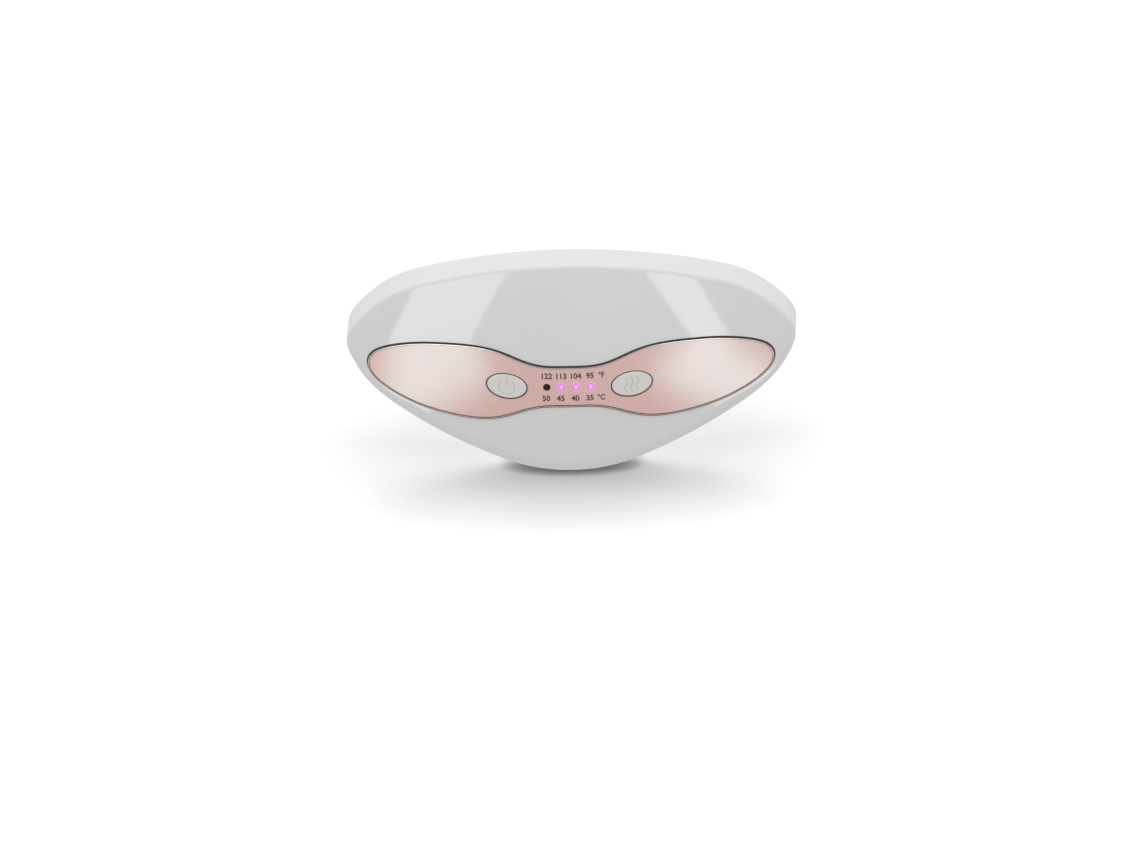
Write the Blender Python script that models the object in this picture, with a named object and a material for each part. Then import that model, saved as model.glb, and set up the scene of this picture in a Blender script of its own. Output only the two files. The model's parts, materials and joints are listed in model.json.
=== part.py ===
"""An eye massager mask as an assembly of separate pieces, in metres, +Z up.

The glossy front faces -Y and the cushion faces the wearer, at +Y. The origin is on the
centre plane and on the line of the buttons, where the rear of the cushion meets the face.
Left and right are as seen from the front, so left is -X.

Most pieces are lofts. A loop is a closed outline in X and Z, clockwise as seen from the
front, that starts at its left end. A surface is a function that gives Y for X and Z. A ring
is a loop laid on a surface, and a piece is a stack of rings with a cap at each end.
"""

import math
from collections import namedtuple

import bmesh
import bpy
import numpy as np
from mathutils import Matrix, Vector

MM = 0.001
GAP = 0.3 * MM  # clearance between neighbouring pieces

# ---- driving dimensions ----------------------------------------------------------------

DEPTH = 29.2 * MM  # housing, front to rear, measured straight back in the middle
FRONT_BOW = 4.7  # the front bends by FRONT_BOW * x * x, about 106 mm radius round the head
REAR_BOW = 4.2  # the wearer's side bends a little less, about 119 mm radius
CROWN = 2.4  # the front face also bulges by CROWN * z * z
WALL = 2.4 * MM  # side wall of the front shell
SKIN = 2.4 * MM  # front face of the front shell
REAR_PLATE = 2.5 * MM
TOP_EDGE = 1.2 * MM  # radius of the crisp crease along the top
BOTTOM_EDGE = 7.0 * MM  # radius of the soft edge that curls under the bottom
EDGE_BLEND = (0.1, -0.9)  # outline normal's Z where the radius starts and stops growing
EDGE_MARGIN = 1.0 * MM  # flat strip kept between a rounded edge and the panel
CUSHION = 12.5 * MM
FRONT_Y = -(DEPTH + GAP + CUSHION)  # the middle of the front face

# Right half of the housing outline, top centre to bottom centre, in millimetres
HOUSING_KNOTS = [
    (0, 53.3), (30, 50.4), (57, 43.0), (76, 34.1), (90.8, 20.3), (98.0, 6.0), (94.3, -4.0),
    (85.6, -12.7), (72, -20.9), (54, -28.7), (36, -35.3), (24, -39.1), (12, -41.4), (0, -42.1),
]
# Right upper quarter of the dog-bone panel, waist to tip
PANEL_KNOTS = [
    (0, 9.4), (12, 9.7), (20, 11.7), (28, 14.7), (36, 16.5), (45, 16.9), (55, 16.2),
    (66, 14.5), (75, 11.9), (82.8, 8.4), (87.6, 4.3), (89.1, 0),
]
HOUSING_COLUMNS = 30
PANEL_COLUMNS = 28

NOSE_DEPTH = 9.0 * MM  # how far the rear is hollowed for the bridge of the nose
NOSE_HALF_WIDTH = 15.0 * MM
NOSE_START_Z = -4.0 * MM
NOSE_LENGTH = 30.0 * MM
NOSE_NOTCH = (-46.0 * MM, 17.0 * MM, 44.0 * MM)  # centre height and half sizes of the notch

RECESS = 0.6 * MM  # seat of the panel below the front face
TRIM_PROUD = 0.9 * MM
TRIM_CHAMFER = 0.5 * MM
TRIM_LIP = 0.35 * MM
TRIM_WIDTH = TRIM_CHAMFER + TRIM_LIP
PANEL_PROUD = 0.6 * MM
PANEL_CHAMFER = 0.25 * MM

BUTTON_X = 27.2 * MM
BUTTON_HALF = (8.6 * MM, 5.4 * MM)
BUTTON_TILT = math.radians(4.5)  # outer ends a little higher
BUTTON_PROUD = 1.3 * MM
BUTTON_EDGE = 0.5 * MM
BUTTON_TRAVEL = 0.6 * MM
BEZEL_WIDTH = 0.5 * MM
BEZEL_PROUD = 0.9 * MM
FLANGE_WIDTH = 1.2 * MM
FLANGE = 0.8 * MM
STEM_RADIUS = 2.0 * MM

LED_FIRST_X = -9.75 * MM
LED_PITCH = 6.35 * MM
LED_COUNT = 4
LENS_RADIUS = 1.5 * MM
LENS_CHAMFER = 0.25 * MM
LENS_PROUD = 0.15 * MM  # ahead of the panel
LED_SIZE = 2.0 * MM
LED_HEIGHT = 1.0 * MM

BOARD_DEPTH = 13.0 * MM  # front of the board behind the middle of the front face
BOARD = 1.2 * MM
BOARD_SIZE = (76.0 * MM, 20.0 * MM)
BOARD_CORNER = 2.0 * MM
CHIP = (7.0 * MM, 1.2 * MM)  # side and thickness
SWITCH_HEIGHT = 3.2 * MM
SWITCH_SIZE = 6.0 * MM
PLUNGER_RADIUS = 1.6 * MM
PLUNGER_PROUD = 0.8 * MM
PLUNGER_LENGTH = 2.2 * MM
PLUNGER_TAPER = 0.85  # radius of its tip as a share of its own

BATTERY = (60.0 * MM, 32.0 * MM, 7.6 * MM)  # width, height, thickness
BATTERY_Z = 29.0 * MM
BATTERY_DEPTH = 13.6 * MM
BATTERY_CORNER = 1.5 * MM
BATTERY_EDGE = 0.8 * MM
TRAY_WALL = 1.4 * MM
TRAY_FLOOR = 1.2 * MM
TRAY_LIP = 3.0 * MM  # how far the tray's side reaches round the cell

EYE_CENTRE = (38.0 * MM, 8.0 * MM)
EYE_OPENING = (24.0 * MM, 18.0 * MM)
EYE_PAD = (22.5 * MM, 16.5 * MM)
EYE_PAD_THICKNESS = 5.3 * MM
EYE_PAD_SIDE = 3.4 * MM  # straight side, below the rounded rim
# Rim of an eye pad: (inset, rise) of its corners, as shares of the rim's height
EYE_PAD_RIM = [(0.8, 0.7), (2.4, 1.0)]
HEATER_FILM = 0.4 * MM
HEATER_BORDER = 3.0 * MM
CUSHION_INSET = 6.0 * MM
CUSHION_SQUEEZE = 0.855  # the cushion is narrower than the housing, clear of the strap lugs
CUSHION_RIM = 4.0 * MM  # width and height of the cushion's rounded rim
CUSHION_SHOULDER = 0.3 * CUSHION_RIM  # how far the rim's middle is inside its corner
HEATER_WIRE_X = 8.0 * MM  # the cable and the bead are this far from the eye's centre
BEAD_RADIUS = 1.0 * MM
BEAD_LENGTH = 2.0 * MM

MOTOR_X = 62.0 * MM
MOTOR_DEPTH = 35.0 * MM
MOTOR_Z = 14.0 * MM  # lower end of the can
MOTOR_RADIUS = 4.0 * MM
MOTOR_LENGTH = 12.0 * MM
MOTOR_CAP = (2.0 * MM, 0.8 * MM)  # radius and height of the raised end
WEIGHT_RADIUS = 4.5 * MM
WEIGHT_HEIGHT = 4.0 * MM
WEIGHT_DROP = 1.0 * MM  # from the can to the weight
SHAFT_RADIUS = 0.75 * MM
SHAFT_INSIDE = 4.0 * MM
SHAFT_TIP = 0.5 * MM  # past the weight
SHAFT_SPARE = 1.0 * MM  # depth of the can's bore past the shaft's inner end
CRADLE = (13.0 * MM, 8.6 * MM, 2.2 * MM)  # width, depth and how far its middle is behind
CRADLE_SPAN = (2.0 * MM, 10.0 * MM)  # lower and upper end along the can

SCREW_PLACES = [(-72, -4), (72, -4), (-45, 30.5), (45, 30.5), (-38, -20), (38, -20)]
SCREW_SHANK = 1.1 * MM  # radius
SCREW_HEAD = 2.4 * MM
SCREW_LENGTH = 10.0 * MM
SCREW_HEAD_HEIGHT = 1.2 * MM
SCREW_TIP = 1.2 * MM  # tapered end of every screw
SCREW_TAPER = 0.6  # radius of the tip as a share of the shank's
SCREW_CROWN = (0.7, 1.5)  # radius and height of the head's top, as shares of the head's
BOSS_RADIUS = 3.0 * MM
COLLAR_RADIUS = 4.0 * MM
COLLAR_DEPTH = 7.0 * MM  # front of the collar, ahead of the rear surface
COLLAR_SEAT = 2.0 * MM  # thickness of the collar under the screw's head
BOARD_SCREW_PLACES = [(-13, 7.6), (13, -7.6)]
POST_RADIUS = 2.1 * MM
BOARD_SHANK = 0.8 * MM
BOARD_HEAD = 1.7 * MM
BOARD_SCREW_LENGTH = 5.0 * MM
BOARD_HEAD_HEIGHT = 0.8 * MM

LUG_X = 84.5 * MM
LUG_Z = 6.5 * MM
LUG_HEIGHT = 25.0 * MM
LUG_THICKNESS = 3.0 * MM
LUG_REACH = 13.5 * MM  # how far the lug stands behind the rear surface
LUG_NECK = 6.0 * MM  # how far it reaches inside
LUG_CORNER = 2.0 * MM
LUG_FLANGE = (5.0 * MM, 1.5 * MM)  # width and thickness of its inner flange
STRAP_SLOT = (5.5 * MM, 20.0 * MM)
STRAP_SLOT_CORNER = 1.0 * MM
STRAP_BAR = 2.5 * MM

PORT_X = 56.0 * MM
PORT_DEPTH = 15.5 * MM  # from the front face to the middle of the port
PORT_SIZE = (8.9 * MM, 3.2 * MM)
PORT_CORNER = 0.49 * PORT_SIZE[1]  # its ends are almost half round
PORT_LENGTH = 7.0 * MM
PORT_SHEET = 0.35 * MM
PORT_SUNK = 0.4 * MM  # its mouth behind the wall's outer face
PORT_BACK = 1.0 * MM  # solid rear end
PORT_BOARD = (12.0 * MM, 8.0 * MM, 1.0 * MM)

CABLE_RADIUS = 0.7 * MM
CABLE_HOLE = 1.4 * MM  # radius
CABLE_LEAD = 2.6  # length of the straight end at the board, in millimetres
CUT = 6.0 * MM  # how far a cutting guide reaches past a wall

SIDES = (("left", -1), ("right", 1))

# ---- finishes: colour, roughness, metallic ---------------------------------------------

WHITE_GLOSS = ((0.80, 0.80, 0.80), 0.22, 0.0)
WHITE_MATTE = ((0.74, 0.74, 0.73), 0.55, 0.0)
ROSE_GOLD = ((0.80, 0.52, 0.45), 0.28, 0.85)
DARK_CHROME = ((0.30, 0.30, 0.31), 0.12, 1.0)
BUTTON_GREY = ((0.68, 0.67, 0.65), 0.35, 0.0)
LENS_CLEAR = ((0.90, 0.45, 0.80), 0.15, 0.0)
LED_WHITE = ((0.90, 0.88, 0.75), 0.40, 0.0)
BOARD_GREEN = ((0.03, 0.20, 0.08), 0.45, 0.0)
BLACK_PLASTIC = ((0.02, 0.02, 0.02), 0.50, 0.0)
STEEL = ((0.60, 0.60, 0.60), 0.30, 1.0)
BRASS = ((0.70, 0.55, 0.28), 0.35, 1.0)
BATTERY_BLUE = ((0.08, 0.18, 0.45), 0.45, 0.0)
POLYIMIDE = ((0.75, 0.38, 0.06), 0.30, 0.0)
CUSHION_GREY = ((0.55, 0.54, 0.53), 0.75, 0.0)
PAD_BLACK = ((0.06, 0.06, 0.07), 0.85, 0.0)
CABLE_BLACK = ((0.03, 0.03, 0.03), 0.55, 0.0)
CABLE_RED = ((0.60, 0.04, 0.03), 0.50, 0.0)

# ---- surfaces --------------------------------------------------------------------------


def front(offset):
    """The front face, moved back by an offset."""
    return lambda x, z: FRONT_Y + FRONT_BOW * x * x + CROWN * z * z + offset


def face_bend(offset):
    """The plain bend of the housing's rear edge, moved back by an offset."""
    return lambda x, z: FRONT_Y + DEPTH + REAR_BOW * x * x + offset + 0 * z


def rear(offset):
    """The rear face, hollowed for the nose, moved back by an offset."""
    bend = face_bend(offset)

    def y(x, z):
        slope = np.clip((NOSE_START_Z - z) / NOSE_LENGTH, 0, 1)
        fade = slope * slope * (3 - 2 * slope)
        return bend(x, z) - NOSE_DEPTH * fade * np.exp(-((x / NOSE_HALF_WIDTH) ** 2))

    return y


def flat(y):
    """A plane across the Y axis."""
    return lambda x, z: y + 0 * x


# ---- loops -----------------------------------------------------------------------------

Loop = namedtuple("Loop", "points normals")


def inset(loop, distance):
    """The loop moved inwards by one distance, or by a distance for each point."""
    return Loop(loop.points - np.reshape(distance, (-1, 1)) * loop.normals, loop.normals)


def smooth_curve(knots, samples):
    """Points of the closed cubic spline through the knots, evenly spaced in each span."""
    knots = np.array(knots, float)
    count = len(knots)
    after = np.roll(knots, -1, axis=0)
    span = np.linalg.norm(after - knots, axis=1)
    slope = (after - knots) / span[:, None]
    system = np.zeros((count, count))
    for i in range(count):
        system[i, i - 1] = span[i - 1]
        system[i, i] = 2 * (span[i - 1] + span[i])
        system[i, (i + 1) % count] = span[i]
    bend = np.linalg.solve(system, 6 * (slope - np.roll(slope, 1, axis=0)))
    bend_after = np.roll(bend, -1, axis=0)
    curve = []
    for i in range(count):
        t = np.linspace(0, span[i], samples, endpoint=False)[:, None]
        u = span[i] - t
        cubic = (bend[i] * u**3 + bend_after[i] * t**3) / (6 * span[i])
        line = (knots[i] / span[i] - bend[i] * span[i] / 6) * u
        line += (after[i] / span[i] - bend_after[i] * span[i] / 6) * t
        curve.append(cubic + line)
    return np.concatenate(curve)


def smooth_loop(knots, columns):
    """A loop through clockwise knots that start at the top centre, in millimetres.

    Its upper and lower points stand in columns, which crowd together towards both ends.
    """
    curve = smooth_curve(knots, samples=120) * MM
    tangent = np.roll(curve, -1, axis=0) - np.roll(curve, 1, axis=0)
    tangent /= np.linalg.norm(tangent, axis=1)[:, None]
    rows = np.column_stack([curve, -tangent[:, 1], tangent[:, 0]])
    right, left = np.argmax(curve[:, 0]), np.argmin(curve[:, 0])
    upper = np.concatenate([rows[left:], rows[: right + 1]])
    lower = rows[right : left + 1][::-1]
    middle = (curve[right, 0] + curve[left, 0]) / 2
    reach = (curve[right, 0] - curve[left, 0]) / 2
    x = middle - reach * np.cos(np.pi * np.arange(columns + 1) / columns)
    over = np.array([np.interp(x, upper[:, 0], upper[:, i]) for i in range(4)]).T
    under = np.array([np.interp(x, lower[:, 0], lower[:, i]) for i in range(4)]).T
    rows = np.concatenate([over, under[-2:0:-1]])
    return Loop(rows[:, :2], rows[:, 2:])


def mirrored_half(knots):
    """Right-half knots, top centre to bottom centre, completed on the left."""
    return knots + [(-x, z) for x, z in knots[-2:0:-1]]


def mirrored_quarter(knots):
    """Right-upper-quarter knots, completed below and on the left."""
    return mirrored_half(knots + [(x, -z) for x, z in knots[-2::-1]])


def ellipse(centre, half_width, half_height, tilt=0.0, columns=12):
    angle = np.pi * (1 - np.arange(2 * columns) / columns)
    cos, sin = np.cos(angle), np.sin(angle)
    points = np.column_stack([half_width * cos, half_height * sin])
    normals = np.column_stack([half_height * cos, half_width * sin])
    normals /= np.linalg.norm(normals, axis=1)[:, None]
    turn = np.array([[math.cos(tilt), math.sin(tilt)], [-math.sin(tilt), math.cos(tilt)]])
    return Loop(points @ turn + np.array(centre), normals @ turn)


def circle(centre, radius, columns=6):
    return ellipse(centre, radius, radius, columns=columns)


def rectangle(centre, width, height, radius=0.0, steps=3):
    """A rectangle, with rounded corners if asked for."""
    points, normals = [], []
    for side, level, start in ((-1, 1, 180), (1, 1, 90), (1, -1, 0), (-1, -1, -90)):
        corner = (side * (width / 2 - radius), level * (height / 2 - radius))
        if radius == 0:
            points.append(corner)
            normals.append((side, level))
        else:
            for step in range(steps + 1):
                angle = math.radians(start - 90 * step / steps)
                normals.append((math.cos(angle), math.sin(angle)))
                points.append((corner[0] + radius * normals[-1][0],
                               corner[1] + radius * normals[-1][1]))
    return Loop(np.array(points) + np.array(centre), np.array(normals, float))


# ---- meshes ----------------------------------------------------------------------------


def ring(loop, surface):
    x, z = loop.points[:, 0], loop.points[:, 1]
    return np.column_stack([x, surface(x, z), z])


def edge_rings(loop, radius, surface, steps):
    """Rings round an edge of the given radius, from the face out to the side wall."""
    rings = []
    for step in range(steps + 1):
        angle = math.pi / 2 * step / steps
        lowered = ring(inset(loop, radius * (1 - math.sin(angle))), surface)
        lowered[:, 1] += radius * (1 - math.cos(angle))
        rings.append(lowered)
    return rings


def bridge(mesh, first, second):
    count = len(first)
    for i in range(count):
        j = (i + 1) % count
        mesh.faces.new((first[i], first[j], second[j], second[i]))


def cap(mesh, verts, surface, rows):
    """Fill a ring with one face, or with columns of faces between its upper and lower points."""
    if rows == 1:
        mesh.faces.new(verts)
        return
    half = len(verts) // 2
    columns = [[verts[0]]]
    for j in range(1, half):
        top, bottom = verts[j], verts[-j]
        column = [top]
        for row in range(1, rows):
            x, _, z = top.co.lerp(bottom.co, row / rows)
            column.append(mesh.verts.new((x, surface(x, z), z)))
        columns.append(column + [bottom])
    columns.append([verts[half]])
    for a, b in zip(columns, columns[1:]):
        for row in range(max(len(a), len(b)) - 1):
            corners = a[row : row + 2] + b[row : row + 2][::-1]
            if len(a) == 1:
                corners = a + b[row : row + 2]
            if len(b) == 1:
                corners = a[row : row + 2] + b
            mesh.faces.new(corners)


def finish_object(name, mesh, finish, origin=(0, 0, 0), smooth=30):
    """Turn a mesh into a named object with its own material."""
    mesh.normal_update()
    bmesh.ops.recalc_face_normals(mesh, faces=mesh.faces)
    bmesh.ops.translate(mesh, verts=mesh.verts, vec=-Vector(origin))
    data = bpy.data.meshes.new(name)
    mesh.to_mesh(data)
    mesh.free()
    data.shade_smooth()
    data.set_sharp_from_angle(angle=math.radians(smooth))
    thing = bpy.data.objects.new(name, data)
    thing.location = origin
    bpy.context.scene.collection.objects.link(thing)
    paint(thing, finish)
    return thing


def paint(thing, finish):
    colour, roughness, metallic = finish
    material = bpy.data.materials.new(thing.name)
    material.use_nodes = True
    shader = material.node_tree.nodes["Principled BSDF"]
    shader.inputs["Base Color"].default_value = (*colour, 1)
    shader.inputs["Roughness"].default_value = roughness
    shader.inputs["Metallic"].default_value = metallic
    thing.data.materials.append(material)


def loft(name, rings, finish, front_cap, rear_cap, rows=1, origin=(0, 0, 0)):
    """One closed piece: rings bridged front to rear, with a cap on each end."""
    mesh = bmesh.new()
    verts = [[mesh.verts.new(point) for point in points] for points in rings]
    for first, second in zip(verts, verts[1:]):
        bridge(mesh, first, second)
    cap(mesh, verts[0], front_cap, rows)
    cap(mesh, verts[-1], rear_cap, rows)
    return finish_object(name, mesh, finish, origin)


def hoop(name, rings, finish):
    """One closed piece: rings bridged in a circuit, so that the middle stays open."""
    mesh = bmesh.new()
    verts = [[mesh.verts.new(point) for point in points] for points in rings]
    for first, second in zip(verts, verts[1:] + verts[:1]):
        bridge(mesh, first, second)
    return finish_object(name, mesh, finish)


def plate(name, loop, near, far, finish, rows=1, origin=(0, 0, 0)):
    """A piece of one outline between two surfaces."""
    rings = [ring(loop, near), ring(loop, far)]
    return loft(name, rings, finish, near, far, rows, origin)


def turned(name, steps, centre, finish, origin=(0, 0, 0), columns=6):
    """A round piece along Y, from (radius, y) steps, front to rear."""
    rings = [ring(circle(centre, radius, columns), flat(y)) for radius, y in steps]
    return loft(name, rings, finish, flat(steps[0][1]), flat(steps[-1][1]), origin=origin)


def combine(target, tool, operation):
    """Cut a target with a tool, or join the tool to it; the tool is only a guide."""
    modifier = target.modifiers.new(f"{operation}_{tool.name}", "BOOLEAN")
    modifier.operation = operation
    modifier.object = tool
    tool.hide_render = True
    tool.display_type = "WIRE"


def station(name, location, turn):
    """An empty that holds a group of pieces in place."""
    holder = bpy.data.objects.new(name, None)
    holder.location = location
    holder.rotation_euler = turn
    bpy.context.scene.collection.objects.link(holder)
    return holder


# ---- housing ---------------------------------------------------------------------------


def housing_loop():
    return smooth_loop(mirrored_half(HOUSING_KNOTS), HOUSING_COLUMNS)


def panel_loop():
    return smooth_loop(mirrored_quarter(PANEL_KNOTS), PANEL_COLUMNS)


def edge_radius(loop):
    """Crisp where the outline faces up, soft where it faces down, and clear of the panel."""
    start, stop = EDGE_BLEND
    down = np.clip((start - loop.normals[:, 1]) / (start - stop), 0, 1)
    radius = TOP_EDGE + (BOTTOM_EDGE - TOP_EDGE) * down * down * (3 - 2 * down)
    to_panel = np.linalg.norm(loop.points[:, None] - panel_loop().points[None], axis=2)
    room = to_panel.min(axis=1) - EDGE_MARGIN
    return np.minimum(radius, room)


def button_loop(sign, grow=0.0, columns=12):
    """The outline of one button, or of what surrounds it."""
    half_width, half_height = BUTTON_HALF
    return ellipse((sign * BUTTON_X, 0), half_width + grow, half_height + grow,
                   sign * BUTTON_TILT, columns)


def led_places():
    return [(LED_FIRST_X + i * LED_PITCH, 0) for i in range(LED_COUNT)]


def board_face():
    return FRONT_Y + BOARD_DEPTH


def make_front_shell():
    outer = housing_loop()
    inner = inset(outer, WALL)
    radius = edge_radius(outer)
    inner_radius = np.maximum(radius - WALL, GAP)
    rings = edge_rings(outer, radius, front(0), steps=3)
    rings += [ring(outer, rear(0)), ring(inner, rear(0))]
    rings += edge_rings(inner, inner_radius, front(SKIN), steps=2)[::-1]
    shell = loft("front_shell", rings, WHITE_GLOSS, front(0), front(SKIN), rows=8)

    for number, (x, z) in enumerate(SCREW_PLACES, 1):
        centre = (x * MM, z * MM)
        end = face_bend(-COLLAR_DEPTH - GAP)(*centre)
        boss = plate(f"boss_{number}", circle(centre, BOSS_RADIUS), front(SKIN / 2),
                     flat(end), WHITE_GLOSS)
        combine(shell, boss, "UNION")
    for number, (x, z) in enumerate(BOARD_SCREW_PLACES, 1):
        post = plate(f"post_{number}", circle((x * MM, z * MM), POST_RADIUS),
                     front(SKIN / 2), flat(board_face() - GAP), WHITE_GLOSS)
        combine(shell, post, "UNION")

    seat = plate("panel_seat", inset(panel_loop(), -GAP), front(-CUT), front(RECESS),
                 WHITE_GLOSS, rows=3)
    combine(shell, seat, "DIFFERENCE")
    for side, sign in SIDES:
        window = plate(f"{side}_button_window", button_loop(sign, GAP), front(-CUT),
                       front(CUT), WHITE_GLOSS)
        combine(shell, window, "DIFFERENCE")
    for number, centre in enumerate(led_places(), 1):
        combine(shell, lens_hole(f"lens_hole_{number}", centre, WHITE_GLOSS), "DIFFERENCE")
    for number, (x, z) in enumerate(SCREW_PLACES, 1):
        centre = (x * MM, z * MM)
        end = face_bend(0)(*centre)
        steps = [(SCREW_SHANK + GAP, end - SCREW_LENGTH - CUT), (SCREW_SHANK + GAP, end)]
        combine(shell, turned(f"bore_{number}", steps, centre, WHITE_GLOSS), "DIFFERENCE")
    for number, (x, z) in enumerate(BOARD_SCREW_PLACES, 1):
        steps = [(BOARD_SHANK + GAP, board_face() - BOARD_SCREW_LENGTH),
                 (BOARD_SHANK + GAP, board_face())]
        bore = turned(f"post_bore_{number}", steps, (x * MM, z * MM), WHITE_GLOSS)
        combine(shell, bore, "DIFFERENCE")
    return shell


def make_rear_shell():
    loop = inset(housing_loop(), WALL + GAP)
    near, far = rear(-REAR_PLATE), rear(0)
    shell = plate("rear_shell", loop, near, far, WHITE_MATTE, rows=6)
    for number, (x, z) in enumerate(SCREW_PLACES, 1):
        centre = (x * MM, z * MM)
        start = face_bend(-COLLAR_DEPTH)(*centre)
        collar = plate(f"collar_{number}", circle(centre, COLLAR_RADIUS), flat(start),
                       face_bend(-REAR_PLATE / 2), WHITE_MATTE)
        combine(shell, collar, "UNION")
    for number, (x, z) in enumerate(SCREW_PLACES, 1):
        centre = (x * MM, z * MM)
        start = face_bend(-COLLAR_DEPTH)(*centre)
        seat = start + COLLAR_SEAT
        steps = [(SCREW_SHANK + GAP, start - CUT), (SCREW_SHANK + GAP, seat),
                 (SCREW_HEAD + GAP, seat), (SCREW_HEAD + GAP, start + COLLAR_DEPTH + CUT)]
        combine(shell, turned(f"counterbore_{number}", steps, centre, WHITE_MATTE), "DIFFERENCE")
    for side, sign in SIDES:
        slot = plate(f"{side}_lug_slot",
                     rectangle((sign * LUG_X, LUG_Z), LUG_THICKNESS + 2 * GAP,
                               LUG_HEIGHT + 2 * GAP),
                     face_bend(-2 * CUT), face_bend(2 * CUT), WHITE_MATTE)
        combine(shell, slot, "DIFFERENCE")
        for name, place in (("cable", cable_hole(sign)), ("bead", bead_place(sign))):
            y = face_bend(0)(*place)
            steps = [(CABLE_HOLE, y - CUT), (CABLE_HOLE, y + CUT)]
            hole = turned(f"{side}_{name}_hole", steps, place, WHITE_MATTE)
            combine(shell, hole, "DIFFERENCE")
    return shell


def make_screw(name, centre, seat, shank, head, length, height):
    """A screw along Y with its head at the rear; the seat is where the head bears."""
    crown_radius, crown_height = SCREW_CROWN
    steps = [(shank * SCREW_TAPER, seat - length), (shank, seat - length + SCREW_TIP),
             (shank, seat), (head, seat), (head, seat + height),
             (head * crown_radius, seat + height * crown_height)]
    turned(name, steps, centre, STEEL, origin=(centre[0], seat, centre[1]))


def make_screws():
    for number, (x, z) in enumerate(SCREW_PLACES, 1):
        centre = (x * MM, z * MM)
        seat = face_bend(-COLLAR_DEPTH)(*centre) + COLLAR_SEAT + GAP
        make_screw(f"housing_screw_{number}", centre, seat, SCREW_SHANK, SCREW_HEAD,
                   SCREW_LENGTH, SCREW_HEAD_HEIGHT)
    for number, (x, z) in enumerate(BOARD_SCREW_PLACES, 1):
        seat = board_face() + BOARD + GAP
        make_screw(f"board_screw_{number}", (x * MM, z * MM), seat, BOARD_SHANK, BOARD_HEAD,
                   BOARD_SCREW_LENGTH, BOARD_HEAD_HEIGHT)


# ---- control panel ---------------------------------------------------------------------


def lens_hole(name, centre, finish):
    """A guide for the round hole of one indicator light."""
    radius = LENS_RADIUS + GAP
    return turned(name, [(radius, FRONT_Y - CUT), (radius, FRONT_Y + CUT)], centre, finish)


def make_trim():
    """The dark chrome frame: an outer chamfer, a narrow lip and a straight inner side."""
    loop = panel_loop()
    seat = RECESS - GAP
    profile = [(0, seat), (0, TRIM_CHAMFER - TRIM_PROUD), (TRIM_CHAMFER, -TRIM_PROUD),
               (TRIM_WIDTH, -TRIM_PROUD), (TRIM_WIDTH, seat)]
    hoop("panel_trim", [ring(inset(loop, d), front(offset)) for d, offset in profile],
         DARK_CHROME)


def make_control_panel():
    loop = inset(panel_loop(), TRIM_WIDTH + GAP)
    top, seat = front(-PANEL_PROUD), front(RECESS - GAP)
    rings = [ring(inset(loop, PANEL_CHAMFER), top),
             ring(loop, front(PANEL_CHAMFER - PANEL_PROUD)), ring(loop, seat)]
    panel = loft("control_panel", rings, ROSE_GOLD, top, seat, rows=3)
    for side, sign in SIDES:
        window = plate(f"{side}_panel_window", button_loop(sign, GAP + BEZEL_WIDTH + GAP),
                       front(-CUT), front(CUT), ROSE_GOLD)
        combine(panel, window, "DIFFERENCE")
    for number, centre in enumerate(led_places(), 1):
        combine(panel, lens_hole(f"panel_lens_hole_{number}", centre, ROSE_GOLD), "DIFFERENCE")


def make_button(kind, sign):
    """A cap with a flange behind the shell and a stem that meets the switch."""
    cap_loop, flange_loop = button_loop(sign), button_loop(sign, FLANGE_WIDTH)
    top = front(-BUTTON_PROUD)
    flange_front = SKIN + GAP
    stem_loop = circle((sign * BUTTON_X, 0), STEM_RADIUS, columns=12)
    stem_end = board_face() - SWITCH_HEIGHT - PLUNGER_PROUD - 2 * GAP
    rings = edge_rings(cap_loop, BUTTON_EDGE, top, steps=2)
    rings += [ring(cap_loop, front(flange_front)), ring(flange_loop, front(flange_front)),
              ring(flange_loop, front(flange_front + FLANGE)),
              ring(stem_loop, front(flange_front + FLANGE)), ring(stem_loop, flat(stem_end))]
    loft(f"{kind}_button", rings, BUTTON_GREY, top, flat(stem_end), rows=2,
         origin=(sign * BUTTON_X, top(BUTTON_X, 0), 0))
    inner, outer = button_loop(sign, GAP), button_loop(sign, GAP + BEZEL_WIDTH)
    seat = front(RECESS - GAP)
    rings = [ring(outer, seat), ring(outer, front(-PANEL_PROUD)),
             ring(inset(outer, BEZEL_WIDTH / 2), front(-BEZEL_PROUD)),
             ring(inner, front(BEZEL_WIDTH / 4 - BEZEL_PROUD)), ring(inner, seat)]
    hoop(f"{kind}_bezel", rings, ROSE_GOLD)


def make_switch(kind, sign):
    """A tact switch body on the board, and the plunger that moves with the button."""
    centre = (sign * BUTTON_X, 0)
    face = board_face() - GAP - SWITCH_HEIGHT
    outline = rectangle(centre, SWITCH_SIZE, SWITCH_SIZE)
    body = plate(f"{kind}_switch", outline, flat(face), flat(board_face() - GAP), BLACK_PLASTIC)
    tip = face - PLUNGER_PROUD
    bore_radius = PLUNGER_RADIUS + GAP
    steps = [(bore_radius, tip), (bore_radius, tip + PLUNGER_LENGTH + BUTTON_TRAVEL + GAP)]
    combine(body, turned(f"{kind}_switch_bore", steps, centre, BLACK_PLASTIC), "DIFFERENCE")
    steps = [(PLUNGER_RADIUS * PLUNGER_TAPER, tip), (PLUNGER_RADIUS, tip + GAP),
             (PLUNGER_RADIUS, tip + PLUNGER_LENGTH)]
    turned(f"{kind}_switch_plunger", steps, centre, BLACK_PLASTIC, origin=(centre[0], tip, 0))


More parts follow.
